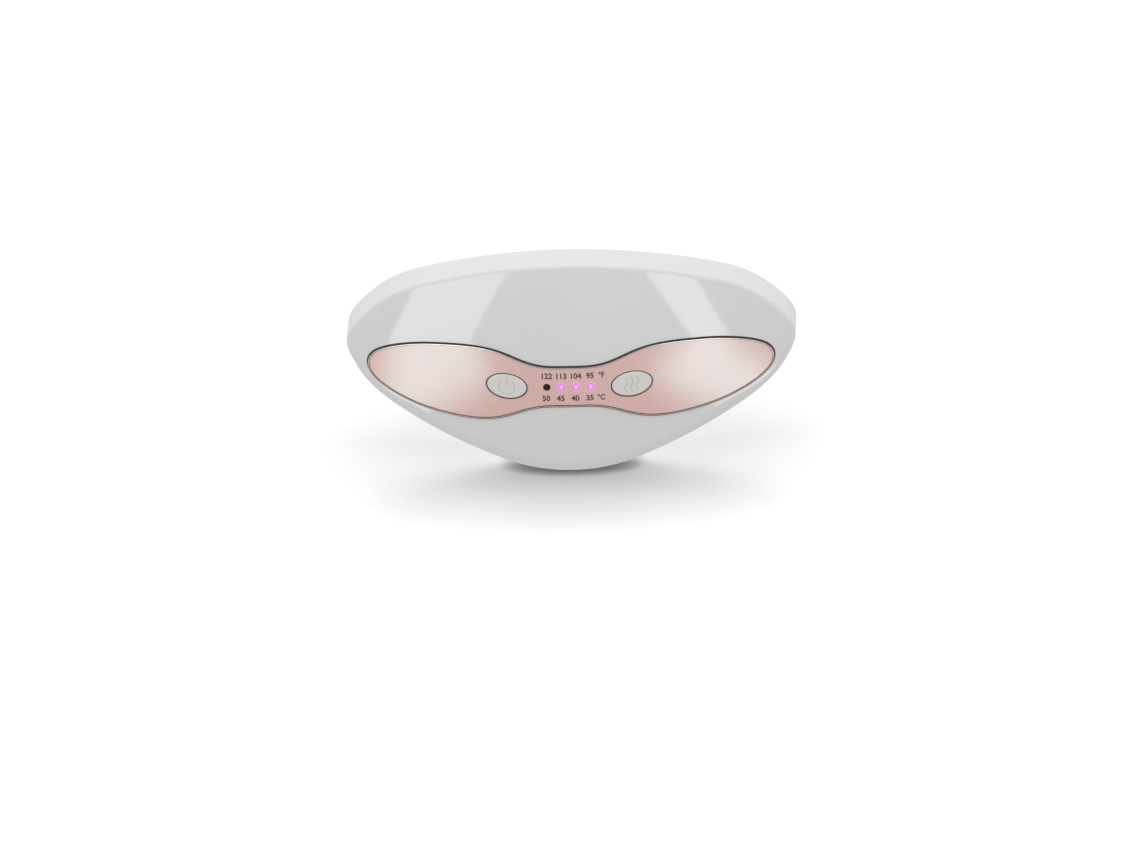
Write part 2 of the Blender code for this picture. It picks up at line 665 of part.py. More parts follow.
def make_indicators():
    """Four light pipes through the panel, each in front of its LED."""
    led_face = board_face() - GAP - LED_HEIGHT
    for number, centre in enumerate(led_places(), 1):
        lens_face = front(-PANEL_PROUD - LENS_PROUD)(*centre)
        steps = [(LENS_RADIUS - LENS_CHAMFER, lens_face),
                 (LENS_RADIUS, lens_face + LENS_CHAMFER), (LENS_RADIUS, led_face - GAP)]
        turned(f"led_lens_{number}", steps, centre, LENS_CLEAR, columns=8)
        plate(f"led_{number}", rectangle(centre, LED_SIZE, LED_SIZE), flat(led_face),
              flat(led_face + LED_HEIGHT), LED_WHITE)


# ---- electronics -----------------------------------------------------------------------


def make_board():
    face, back = flat(board_face()), flat(board_face() + BOARD)
    board = plate("control_board", rectangle((0, 0), *BOARD_SIZE, radius=BOARD_CORNER), face,
                  back, BOARD_GREEN)
    for number, (x, z) in enumerate(BOARD_SCREW_PLACES, 1):
        radius = BOARD_SHANK + GAP
        steps = [(radius, board_face() - CUT), (radius, board_face() + CUT)]
        hole = turned(f"board_hole_{number}", steps, (x * MM, z * MM), BOARD_GREEN)
        combine(board, hole, "DIFFERENCE")
    behind = board_face() + BOARD + GAP
    side, thickness = CHIP
    plate("controller_chip", rectangle((0, 0), side, side), flat(behind),
          flat(behind + thickness), BLACK_PLASTIC)


def make_battery():
    width, height, thickness = BATTERY
    centre = (0, BATTERY_Z)
    near = FRONT_Y + BATTERY_DEPTH
    far = near + thickness
    loop = rectangle(centre, width, height, radius=BATTERY_CORNER)
    end = inset(loop, BATTERY_EDGE)
    rings = [ring(end, flat(near)), ring(loop, flat(near + BATTERY_EDGE)),
             ring(loop, flat(far - BATTERY_EDGE)), ring(end, flat(far))]
    loft("battery_cell", rings, BATTERY_BLUE, flat(near), flat(far))
    pocket, outside = inset(loop, -GAP), inset(loop, -GAP - TRAY_WALL)
    rings = [ring(pocket, flat(far + GAP)), ring(pocket, flat(far - TRAY_LIP)),
             ring(outside, flat(far - TRAY_LIP)), ring(outside, flat(far + GAP + TRAY_FLOOR))]
    loft("battery_tray", rings, BLACK_PLASTIC, flat(far + GAP), flat(far + GAP + TRAY_FLOOR))


def make_motor(side, sign):
    """A vibration motor with its shaft down, turned to lie along the bend of the housing."""
    slope = math.atan(2 * REAR_BOW * MOTOR_X)
    middle = (sign * MOTOR_X, FRONT_Y + MOTOR_DEPTH, MOTOR_Z)
    holder = station(f"{side}_motor_station", middle, (0, 0, sign * slope))
    upright = Matrix.Rotation(math.radians(90), 4, "X")  # the piece's own +Y becomes +Z

    cap_radius, cap_height = MOTOR_CAP
    steps = [(MOTOR_RADIUS, 0), (MOTOR_RADIUS, MOTOR_LENGTH), (cap_radius, MOTOR_LENGTH),
             (cap_radius, MOTOR_LENGTH + cap_height)]
    can = turned(f"{side}_motor", steps, (0, 0), STEEL, columns=12)
    steps = [(SHAFT_RADIUS + GAP, -WEIGHT_DROP), (SHAFT_RADIUS + GAP, SHAFT_INSIDE + SHAFT_SPARE)]
    bore = turned(f"{side}_motor_bore", steps, (0, 0), STEEL)
    combine(can, bore, "DIFFERENCE")

    half_disc = np.array([(WEIGHT_RADIUS * math.cos(a), WEIGHT_RADIUS * math.sin(a))
                          for a in np.linspace(math.pi, 0, 13)])
    hub = -SHAFT_RADIUS - GAP  # the flat side, just past the shaft
    outline = np.concatenate([half_disc, [(WEIGHT_RADIUS, hub), (-WEIGHT_RADIUS, hub)]])
    low_end = -WEIGHT_DROP - WEIGHT_HEIGHT
    steps = [(SHAFT_RADIUS, low_end - SHAFT_TIP), (SHAFT_RADIUS, SHAFT_INSIDE)]
    weight = turned(f"{side}_weight", steps, (0, 0), BRASS)
    mesh = bmesh.new()
    low = [mesh.verts.new((x, low_end, z)) for x, z in outline]
    high = [mesh.verts.new((x, -WEIGHT_DROP, z)) for x, z in outline]
    bridge(mesh, low, high)
    mesh.faces.new(low)
    mesh.faces.new(high)
    block = finish_object(f"{side}_weight_block", mesh, BRASS)
    combine(weight, block, "UNION")

    width, depth, behind = CRADLE
    cradle = plate(f"{side}_motor_cradle", rectangle((0, behind), width, depth),
                   flat(CRADLE_SPAN[0]), flat(CRADLE_SPAN[1]), BLACK_PLASTIC)
    steps = [(MOTOR_RADIUS + GAP, 0), (MOTOR_RADIUS + GAP, MOTOR_LENGTH)]
    clamp_bore = turned(f"{side}_cradle_bore", steps, (0, 0), BLACK_PLASTIC, columns=12)
    combine(cradle, clamp_bore, "DIFFERENCE")
    for piece in (can, bore, weight, block, cradle, clamp_bore):
        piece.parent = holder
        piece.matrix_basis = upright


def make_charge_port():
    """A charging socket through the lower wall, with its small board behind it."""
    loop = housing_loop()
    lower = range(len(loop.points) // 2 + 1, len(loop.points))
    place = min(lower, key=lambda i: abs(loop.points[i, 0] - PORT_X))
    x, z = loop.points[place]
    normal_x, normal_z = loop.normals[place]
    inward = Vector((-normal_x, 0, -normal_z))
    along = Vector((-normal_z, 0, normal_x))
    holder = station("port_station", (0, 0, 0), (0, 0, 0))
    axes = Matrix((along, inward, along.cross(inward))).transposed().to_4x4()
    holder.matrix_basis = Matrix.Translation((x, front(PORT_DEPTH)(x, z), z)) @ axes

    width, height = PORT_SIZE
    outside = rectangle((0, 0), width, height, PORT_CORNER)
    inside = inset(outside, PORT_SHEET)
    near, far = PORT_SUNK, PORT_SUNK + PORT_LENGTH
    rings = [ring(inside, flat(far - PORT_BACK)), ring(inside, flat(near)),
             ring(outside, flat(near)), ring(outside, flat(far))]
    port = loft("charge_port", rings, STEEL, flat(far - PORT_BACK), flat(far))

    board_width, board_length, board_thickness = PORT_BOARD
    start = WALL + 2 * GAP
    level = height / 2 + GAP + board_thickness / 2
    board = plate("port_board", rectangle((0, level), board_width, board_thickness),
                  flat(start), flat(start + board_length), BOARD_GREEN)
    opening = plate("port_opening", inset(outside, -GAP), flat(-CUT), flat(CUT), WHITE_GLOSS)
    for piece in (port, board, opening):
        piece.parent = holder
    return opening


# ---- wearer's side ---------------------------------------------------------------------


def eye_loop(sign, half):
    return ellipse((sign * EYE_CENTRE[0], EYE_CENTRE[1]), *half, columns=14)


def cable_hole(sign):
    return (sign * (EYE_CENTRE[0] - HEATER_WIRE_X), EYE_CENTRE[1])


def bead_place(sign):
    return (sign * (EYE_CENTRE[0] + HEATER_WIRE_X), EYE_CENTRE[1])


def make_eye_unit(side, sign):
    """A heater film and a soft pad over it, with a temperature bead behind the film."""
    film_loop = inset(eye_loop(sign, EYE_PAD), HEATER_BORDER)
    plate(f"{side}_heater_film", film_loop, rear(GAP), rear(GAP + HEATER_FILM), POLYIMIDE,
          rows=3)
    start = 2 * GAP + HEATER_FILM
    loop = eye_loop(sign, EYE_PAD)
    crown = rear(start + EYE_PAD_THICKNESS)
    rim = EYE_PAD_THICKNESS - EYE_PAD_SIDE
    rings = [ring(loop, rear(start)), ring(loop, rear(start + EYE_PAD_SIDE))]
    for inwards, rise in EYE_PAD_RIM:
        rings.append(ring(inset(loop, inwards * rim), rear(start + EYE_PAD_SIDE + rise * rim)))
    loft(f"{side}_eye_pad", rings, PAD_BLACK, rear(start), crown, rows=4)
    bead = bead_place(sign)
    y = face_bend(-REAR_PLATE)(*bead)
    edge = BEAD_RADIUS / 2
    steps = [(edge, y), (BEAD_RADIUS, y + edge), (BEAD_RADIUS, y + BEAD_LENGTH - edge),
             (edge, y + BEAD_LENGTH)]
    turned(f"{side}_thermistor", steps, bead, BLACK_PLASTIC)


def make_cushion():
    loop = inset(housing_loop(), CUSHION_INSET)
    loop = Loop(loop.points * np.array([CUSHION_SQUEEZE, 1]), loop.normals)
    crown = face_bend(GAP + CUSHION)
    rings = [ring(loop, face_bend(GAP)), ring(loop, face_bend(GAP + CUSHION - CUSHION_RIM)),
             ring(inset(loop, CUSHION_SHOULDER), face_bend(GAP + CUSHION - CUSHION_SHOULDER)),
             ring(inset(loop, CUSHION_RIM), crown)]
    cushion = loft("face_cushion", rings, CUSHION_GREY, face_bend(GAP), crown, rows=4)
    for side, sign in SIDES:
        hole = plate(f"{side}_eye_hole", eye_loop(sign, EYE_OPENING), face_bend(-CUT),
                     face_bend(CUSHION + CUT), CUSHION_GREY)
        combine(cushion, hole, "DIFFERENCE")
    level, half_width, half_height = NOSE_NOTCH
    notch = plate("nose_notch", ellipse((0, level), half_width, half_height), flat(FRONT_Y),
                  flat(CUSHION), CUSHION_GREY)
    combine(cushion, notch, "DIFFERENCE")


def make_strap_lug(side, sign):
    """A loop for the head strap, held by a flange inside the rear shell."""
    root = face_bend(0)(LUG_X, LUG_Z)
    slot_width, slot_height = STRAP_SLOT
    flange_width, flange_thickness = LUG_FLANGE
    flange_end = root - LUG_NECK + flange_thickness / 2
    flange = plate(f"{side}_strap_lug",
                   rectangle((sign * LUG_X, LUG_Z), flange_width, LUG_HEIGHT + flange_thickness),
                   flat(flange_end - flange_thickness), flat(flange_end), WHITE_MATTE)
    length = LUG_REACH + LUG_NECK
    centre = ((LUG_REACH - LUG_NECK) / 2, 0)
    blade = plate(f"{side}_lug_blade", rectangle(centre, length, LUG_HEIGHT, LUG_CORNER),
                  flat(-LUG_THICKNESS / 2), flat(LUG_THICKNESS / 2), WHITE_MATTE)
    slot_centre = (LUG_REACH - STRAP_BAR - slot_width / 2, 0)
    slot_loop = rectangle(slot_centre, slot_width, slot_height, STRAP_SLOT_CORNER)
    slot = plate(f"{side}_strap_slot", slot_loop, flat(-LUG_THICKNESS), flat(LUG_THICKNESS),
                 WHITE_MATTE)
    for piece in (blade, slot):
        piece.location = (sign * LUG_X, root, LUG_Z)
        piece.rotation_euler = (0, 0, math.radians(90))
    combine(flange, blade, "UNION")
    combine(flange, slot, "DIFFERENCE")


# ---- internal cables -------------------------------------------------------------------


def smooth_path(knots, steps):
    """Points of a smooth open curve through the knots."""
    knots = [Vector(knot) * MM for knot in knots]
    padded = [2 * knots[0] - knots[1]] + knots + [2 * knots[-1] - knots[-2]]
    points = []
    for a, b, c, d in zip(padded, padded[1:], padded[2:], padded[3:]):
        for step in range(steps):
            t = step / steps
            points.append(0.5 * (2 * b + (c - a) * t + (2 * a - 5 * b + 4 * c - d) * t * t
                                 + (3 * b - a - 3 * c + d) * t**3))
    return points + [knots[-1]]


def make_cable(name, knots, finish):
    """A tube through knots of x, depth behind the front face and z, in millimetres."""
    points = [point + Vector((0, FRONT_Y, 0)) for point in smooth_path(knots, steps=3)]
    curve = bpy.data.curves.new(name, "CURVE")
    curve.dimensions = "3D"
    curve.bevel_depth = CABLE_RADIUS
    curve.bevel_resolution = 2
    curve.use_fill_caps = True
    spline = curve.splines.new("POLY")
    spline.points.add(len(points) - 1)
    for target, point in zip(spline.points, points):
        target.co = (*point, 1)
    cable = bpy.data.objects.new(name, curve)
    bpy.context.scene.collection.objects.link(cable)
    paint(cable, finish)


def make_cables():
    """Every cable ends square to the back of the board, just clear of it."""
    end = (BOARD_DEPTH + BOARD + GAP) / MM
    turn = end + CABLE_LEAD
    make_cable("battery_cable", [(-30.8, 16, 26), (-34.5, 16, 24), (-36.5, 16.5, 17),
                                 (-34.5, 18, 10), (-32, turn, 5), (-32, end, 5)], CABLE_RED)
    make_cable("port_cable", [(51.6, 29, -16.2), (49.5, 27, -11), (44, 21, -8),
                              (38, 18, -6.5), (34, turn, -6), (34, end, -6)], CABLE_BLACK)
    for side, sign in SIDES:
        motor = [(62, 35, 27.2), (61, 34, 30), (55, 30, 29.5), (48, 24, 19), (42, 19, 6),
                 (37, 17.3, 1), (34, turn, 0), (34, end, 0)]
        film = (face_bend(0)(cable_hole(1)[0], 0) - FRONT_Y) / MM
        heater = [(30, film, 8), (30, film - 4, 8), (29, film - 8, 7), (26, 18, 4),
                  (24, turn, 3), (24, end, 3)]
        for kind, knots in (("motor", motor), ("heater", heater)):
            make_cable(f"{side}_{kind}_cable", [(sign * x, y, z) for x, y, z in knots],
                       CABLE_BLACK)


# ---- assembly --------------------------------------------------------------------------


def main():
    for thing in list(bpy.data.objects):
        bpy.data.objects.remove(thing, do_unlink=True)
    front_shell = make_front_shell()
    make_rear_shell()
    make_screws()
    make_trim()
    make_control_panel()
    for kind, sign in (("power", -1), ("heat", 1)):
        make_button(kind, sign)
        make_switch(kind, sign)
    make_indicators()
    make_board()
    make_battery()
    combine(front_shell, make_charge_port(), "DIFFERENCE")
    for side, sign in SIDES:
        make_motor(side, sign)
        make_eye_unit(side, sign)
        make_strap_lug(side, sign)
    make_cushion()
    make_cables()


main()
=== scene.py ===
import json
import math
from collections import namedtuple

import bmesh
import bpy
import numpy as np
from mathutils import Matrix, Vector
from mathutils.kdtree import KDTree


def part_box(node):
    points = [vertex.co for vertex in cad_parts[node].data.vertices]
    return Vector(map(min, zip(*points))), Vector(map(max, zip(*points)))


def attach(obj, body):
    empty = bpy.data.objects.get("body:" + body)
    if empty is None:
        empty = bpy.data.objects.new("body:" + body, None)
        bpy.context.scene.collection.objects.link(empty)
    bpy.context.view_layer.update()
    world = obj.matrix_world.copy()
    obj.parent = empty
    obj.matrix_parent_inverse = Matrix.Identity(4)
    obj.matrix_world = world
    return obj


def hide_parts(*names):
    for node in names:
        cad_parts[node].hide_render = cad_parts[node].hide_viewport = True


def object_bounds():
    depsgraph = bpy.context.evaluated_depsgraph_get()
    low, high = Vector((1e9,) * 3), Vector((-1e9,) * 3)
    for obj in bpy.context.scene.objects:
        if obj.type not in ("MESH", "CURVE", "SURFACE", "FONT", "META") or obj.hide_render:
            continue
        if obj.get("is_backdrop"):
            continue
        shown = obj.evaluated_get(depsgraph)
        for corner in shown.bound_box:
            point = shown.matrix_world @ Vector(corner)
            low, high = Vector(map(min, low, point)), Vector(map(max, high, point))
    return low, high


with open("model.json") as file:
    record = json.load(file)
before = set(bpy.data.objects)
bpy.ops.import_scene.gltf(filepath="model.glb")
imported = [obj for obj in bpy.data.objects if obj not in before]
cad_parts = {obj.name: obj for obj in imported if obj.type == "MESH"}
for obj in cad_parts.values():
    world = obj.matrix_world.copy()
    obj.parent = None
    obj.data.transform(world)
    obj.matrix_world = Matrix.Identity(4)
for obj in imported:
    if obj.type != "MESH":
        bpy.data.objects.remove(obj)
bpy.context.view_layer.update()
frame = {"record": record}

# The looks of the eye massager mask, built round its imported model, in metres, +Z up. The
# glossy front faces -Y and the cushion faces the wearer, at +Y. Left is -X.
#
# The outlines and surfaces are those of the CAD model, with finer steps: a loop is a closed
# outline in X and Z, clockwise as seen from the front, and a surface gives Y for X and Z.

MM = 0.001
GAP = 0.3 * MM
SEAM = 0.08 * MM  # the finer gap between pressed-in pieces
SIDES = (("left", -1), ("right", 1))

# ---- dimensions of the CAD model ----------------------------------------------------------

DEPTH = 29.2 * MM
FRONT_BOW = 4.7
REAR_BOW = 4.2
CROWN = 2.4
WALL = 2.4 * MM
SKIN = 2.4 * MM
TOP_EDGE = 1.2 * MM
BOTTOM_EDGE = 7.0 * MM
EDGE_BLEND = (0.1, -0.9)
EDGE_MARGIN = 1.0 * MM
CUSHION = 12.5 * MM
FRONT_Y = -(DEPTH + GAP + CUSHION)
HOUSING_KNOTS = [
    (0, 53.3), (30, 50.4), (57, 43.0), (76, 34.1), (90.8, 20.3), (98.0, 6.0), (94.3, -4.0),
    (85.6, -12.7), (72, -20.9), (54, -28.7), (36, -35.3), (24, -39.1), (12, -41.4), (0, -42.1),
]
PANEL_KNOTS = [
    (0, 9.4), (12, 9.7), (20, 11.7), (28, 14.7), (36, 16.5), (45, 16.9), (55, 16.2),
    (66, 14.5), (75, 11.9), (82.8, 8.4), (87.6, 4.3), (89.1, 0),
]
NOSE_DEPTH, NOSE_HALF_WIDTH = 9.0 * MM, 15.0 * MM
NOSE_START_Z, NOSE_LENGTH = -4.0 * MM, 30.0 * MM
NOSE_NOTCH = (-46.0 * MM, 17.0 * MM, 44.0 * MM)
RECESS = 0.6 * MM
TRIM_PROUD, TRIM_CHAMFER, TRIM_LIP = 0.9 * MM, 0.5 * MM, 0.35 * MM
TRIM_WIDTH = TRIM_CHAMFER + TRIM_LIP
PANEL_PROUD = 0.6 * MM
BUTTON_X = 27.2 * MM
BUTTON_HALF = (8.6 * MM, 5.4 * MM)
BUTTON_TILT = math.radians(4.5)
BUTTON_PROUD, BUTTON_EDGE = 1.3 * MM, 0.5 * MM
BEZEL_WIDTH, BEZEL_PROUD = 0.5 * MM, 0.9 * MM
FLANGE_WIDTH, FLANGE = 1.2 * MM, 0.8 * MM
LED_XS = [-9.75 * MM, -3.4 * MM, 2.95 * MM, 9.3 * MM]
LENS_RADIUS, LENS_PROUD = 1.5 * MM, 0.15 * MM
BOARD_DEPTH = 13.0 * MM
SWITCH_HEIGHT, PLUNGER_PROUD = 3.2 * MM, 0.8 * MM
LED_HEIGHT = 1.0 * MM
EYE_CENTRE = (38.0 * MM, 8.0 * MM)
EYE_OPENING = (24.0 * MM, 18.0 * MM)
HEATER_FILM = 0.4 * MM
CUSHION_INSET, CUSHION_SQUEEZE = 6.0 * MM, 0.855

# ---- surfaces and loops -------------------------------------------------------------------


def ease(share):
    """A share from 0 to 1 that starts and stops gently."""
    return share * share * (3 - 2 * share)


def front(offset):
    return lambda x, z: FRONT_Y + FRONT_BOW * x * x + CROWN * z * z + offset


def front_normal(x, z):
    normal = Vector((2 * FRONT_BOW * x, -1, 2 * CROWN * z))
    return normal.normalized()


def face_bend(offset):
    return lambda x, z: FRONT_Y + DEPTH + REAR_BOW * x * x + offset + 0 * z


def rear(offset):
    bend = face_bend(offset)

    def y(x, z):
        slope = np.clip((NOSE_START_Z - z) / NOSE_LENGTH, 0, 1)
        return bend(x, z) - NOSE_DEPTH * ease(slope) * np.exp(-((x / NOSE_HALF_WIDTH) ** 2))

    return y


def flat(y):
    return lambda x, z: y + 0 * x


Loop = namedtuple("Loop", "points normals")


def inset(loop, distance):
    return Loop(loop.points - np.reshape(distance, (-1, 1)) * loop.normals, loop.normals)


def smooth_curve(knots, samples):
    """Points of the closed cubic spline through the knots, evenly spaced in each span."""
    knots = np.array(knots, float)
    count = len(knots)
    after = np.roll(knots, -1, axis=0)
    span = np.linalg.norm(after - knots, axis=1)
    slope = (after - knots) / span[:, None]
    system = np.zeros((count, count))
    for i in range(count):
        system[i, i - 1] = span[i - 1]
        system[i, i] = 2 * (span[i - 1] + span[i])
        system[i, (i + 1) % count] = span[i]
    bend = np.linalg.solve(system, 6 * (slope - np.roll(slope, 1, axis=0)))
    bend_after = np.roll(bend, -1, axis=0)
    curve = []
    for i in range(count):
        t = np.linspace(0, span[i], samples, endpoint=False)[:, None]
        u = span[i] - t
        cubic = (bend[i] * u**3 + bend_after[i] * t**3) / (6 * span[i])
        line = (knots[i] / span[i] - bend[i] * span[i] / 6) * u
        line += (after[i] / span[i] - bend_after[i] * span[i] / 6) * t
        curve.append(cubic + line)
    return np.concatenate(curve)


def smooth_loop(knots, columns):
    """A loop through clockwise knots in millimetres, with points in matching columns."""
    curve = smooth_curve(knots, samples=120) * MM
    tangent = np.roll(curve, -1, axis=0) - np.roll(curve, 1, axis=0)
    tangent /= np.linalg.norm(tangent, axis=1)[:, None]
    rows = np.column_stack([curve, -tangent[:, 1], tangent[:, 0]])
    right, left = np.argmax(curve[:, 0]), np.argmin(curve[:, 0])
    upper = np.concatenate([rows[left:], rows[: right + 1]])
    lower = rows[right : left + 1][::-1]
    middle = (curve[right, 0] + curve[left, 0]) / 2
    reach = (curve[right, 0] - curve[left, 0]) / 2
    x = middle - reach * np.cos(np.pi * np.arange(columns + 1) / columns)
    over = np.array([np.interp(x, upper[:, 0], upper[:, i]) for i in range(4)]).T
    under = np.array([np.interp(x, lower[:, 0], lower[:, i]) for i in range(4)]).T
    rows = np.concatenate([over, under[-2:0:-1]])
    normals = rows[:, 2:] / np.linalg.norm(rows[:, 2:], axis=1)[:, None]
    return Loop(rows[:, :2], normals)


def mirrored_half(knots):
    return knots + [(-x, z) for x, z in knots[-2:0:-1]]


def mirrored_quarter(knots):
    return mirrored_half(knots + [(x, -z) for x, z in knots[-2::-1]])


def ellipse(centre, half_width, half_height, tilt=0.0, columns=48):
    angle = np.pi * (1 - np.arange(2 * columns) / columns)
    cos, sin = np.cos(angle), np.sin(angle)
    points = np.column_stack([half_width * cos, half_height * sin])
    normals = np.column_stack([half_height * cos, half_width * sin])
    normals /= np.linalg.norm(normals, axis=1)[:, None]
    turn = np.array([[math.cos(tilt), math.sin(tilt)], [-math.sin(tilt), math.cos(tilt)]])
    return Loop(points @ turn + np.array(centre), normals @ turn)


def button_loop(sign, grow=0.0):
    return ellipse((sign * BUTTON_X, 0), BUTTON_HALF[0] + grow, BUTTON_HALF[1] + grow,
                   sign * BUTTON_TILT)


def ring(loop, surface):
    x, z = loop.points[:, 0], loop.points[:, 1]
    return np.column_stack([x, surface(x, z), z])


def edge_rings(loop, radius, surface, steps):
    """Rings round an edge of the given radius, from the face out to the side wall."""
    rings = []
    for step in range(steps + 1):
        angle = math.pi / 2 * step / steps
        lowered = ring(inset(loop, radius * (1 - math.sin(angle))), surface)
        lowered[:, 1] += radius * (1 - math.cos(angle))
        rings.append(lowered)
    return rings


# ---- meshes -------------------------------------------------------------------------------


def bridge(mesh, first, second):
    count = len(first)
    for i in range(count):
        j = (i + 1) % count
        mesh.faces.new((first[i], first[j], second[j], second[i]))


def cap(mesh, verts, surface, rows):
    """Fill a ring with columns of faces between its upper and lower points."""
    if rows == 1:
        mesh.faces.new(verts)
        return
    half = len(verts) // 2
    columns = [[verts[0]]]
    for j in range(1, half):
        top, bottom = verts[j], verts[-j]
        column = [top]
        for row in range(1, rows):
            x, _, z = top.co.lerp(bottom.co, row / rows)
            column.append(mesh.verts.new((x, surface(x, z), z)))
        columns.append(column + [bottom])
    columns.append([verts[half]])
    for a, b in zip(columns, columns[1:]):
        for row in range(max(len(a), len(b)) - 1):
            corners = a[row : row + 2] + b[row : row + 2][::-1]
            if len(a) == 1:
                corners = a + b[row : row + 2]
            if len(b) == 1:
                corners = a[row : row + 2] + b
            mesh.faces.new(corners)


def add_object(name, data):
    thing = bpy.data.objects.new(name, data)
    bpy.context.scene.collection.objects.link(thing)
    return thing


def evaluated_mesh(thing):
    graph = bpy.context.evaluated_depsgraph_get()
    return bpy.data.meshes.new_from_object(thing.evaluated_get(graph))


def to_object(name, mesh, smooth=30):
    mesh.normal_update()
    bmesh.ops.recalc_face_normals(mesh, faces=mesh.faces)
    data = bpy.data.meshes.new(name)
    mesh.to_mesh(data)
    mesh.free()
    data.shade_smooth()
    data.set_sharp_from_angle(angle=math.radians(smooth))
    return add_object(name, data)


def loft(name, rings, front_cap, rear_cap, rows=1, smooth=30):
    mesh = bmesh.new()
    verts = [[mesh.verts.new(point) for point in points] for points in rings]
    for first, second in zip(verts, verts[1:]):
        bridge(mesh, first, second)
    cap(mesh, verts[0], front_cap, rows)
    cap(mesh, verts[-1], rear_cap, rows)
    return to_object(name, mesh, smooth)


def hoop(name, rings, smooth=30):
    mesh = bmesh.new()
    verts = [[mesh.verts.new(point) for point in points] for points in rings]
    for first, second in zip(verts, verts[1:] + verts[:1]):
        bridge(mesh, first, second)
    return to_object(name, mesh, smooth)


def plate(name, loop, near, far, rows=1):
    return loft(name, [ring(loop, near), ring(loop, far)], near, far, rows)


def turned(name, steps, centre, columns=24):
    rings = [ring(ellipse(centre, radius, radius, columns=columns), flat(y))
             for radius, y in steps]
    return loft(name, rings, flat(steps[0][1]), flat(steps[-1][1]))


def cut(target, tools):
    """Subtract the tools from the target for good, and remove them."""
    for tool in tools:
        modifier = target.modifiers.new(tool.name, "BOOLEAN")
        modifier.operation = "DIFFERENCE"
        modifier.object = tool
    apply_modifiers(target)
    for tool in tools:
        bpy.data.objects.remove(tool, do_unlink=True)


def apply_modifiers(thing):
    data = evaluated_mesh(thing)
    thing.modifiers.clear()
    old, thing.data = thing.data, data
    bpy.data.meshes.remove(old)
    data.name = thing.name


def edge_normals(loop, steps):
    """The smooth normals of the points of edge_rings, from the face out to the side wall."""
    face = np.array([front_normal(x, z) for x, z in loop.points])
    side = np.column_stack([loop.normals[:, 0], 0 * loop.normals[:, 0], loop.normals[:, 1]])
    angles = [math.pi / 2 * step / steps for step in range(steps + 1)]
    return [face * math.cos(angle) + side * math.sin(angle) for angle in angles]


def true_normals(thing, surface, normal_at, edge=()):
    """Give a surface's own normals to the corners that lie smoothly on it or on its edge.

    The edge is a list of pairs of a point and its normal.
    """
    tolerance, bend = 0.012 * MM, math.radians(12)
    tree = KDTree(len(edge))
    for index, (point, _) in enumerate(edge):
        tree.insert(point, index)
    tree.balance()
    data = thing.data
    normals = [corner.vector.copy() for corner in data.corner_normals]
    for face in data.polygons:
        places = [data.vertices[i].co for i in face.vertices]
        lying = [abs(p.y - surface(p.x, p.z)) < tolerance for p in places]
        for index, p, lies in zip(face.loop_indices, places, lying):
            exact = normal_at(p.x, p.z)
            if all(lying) or (lies and normals[index].angle(exact, math.pi) < bend):
                normals[index] = exact
                continue
            _, nearest, distance = tree.find(p)
            if distance is not None and distance < 0.001 * MM:
                normals[index] = Vector(edge[nearest][1]).normalized()
    data.normals_split_custom_set(normals)


def curve_to_mesh(name, curve):
    """A mesh object with the shape of a curve or a text."""
    source = add_object(name, curve)
    data = evaluated_mesh(source)
    bpy.data.objects.remove(source, do_unlink=True)
    data.name = name
    return add_object(name, data)


def closed_tube(name, points, radius):
    """A round tube along a closed line of points."""
    curve = bpy.data.curves.new(name, "CURVE")
    curve.dimensions = "3D"
    curve.bevel_depth = radius
    curve.bevel_resolution = 3
    spline = curve.splines.new("POLY")
    spline.points.add(len(points) - 1)
    for target, point in zip(spline.points, points):
        target.co = (*point, 1)
    spline.use_cyclic_u = True
    thing = curve_to_mesh(name, curve)
    thing.data.shade_smooth()
    return thing


def join(name, parts):
    """Several mesh objects as one."""
    mesh = bmesh.new()
    for part in parts:
        mesh.from_mesh(part.data)
    data = bpy.data.meshes.new(name)
    mesh.to_mesh(data)
    mesh.free()
    data.shade_smooth()
    data.set_sharp_from_angle(angle=math.radians(35))
    for part in parts:
        bpy.data.objects.remove(part, do_unlink=True)
    return add_object(name, data)


# ---- materials ----------------------------------------------------------------------------


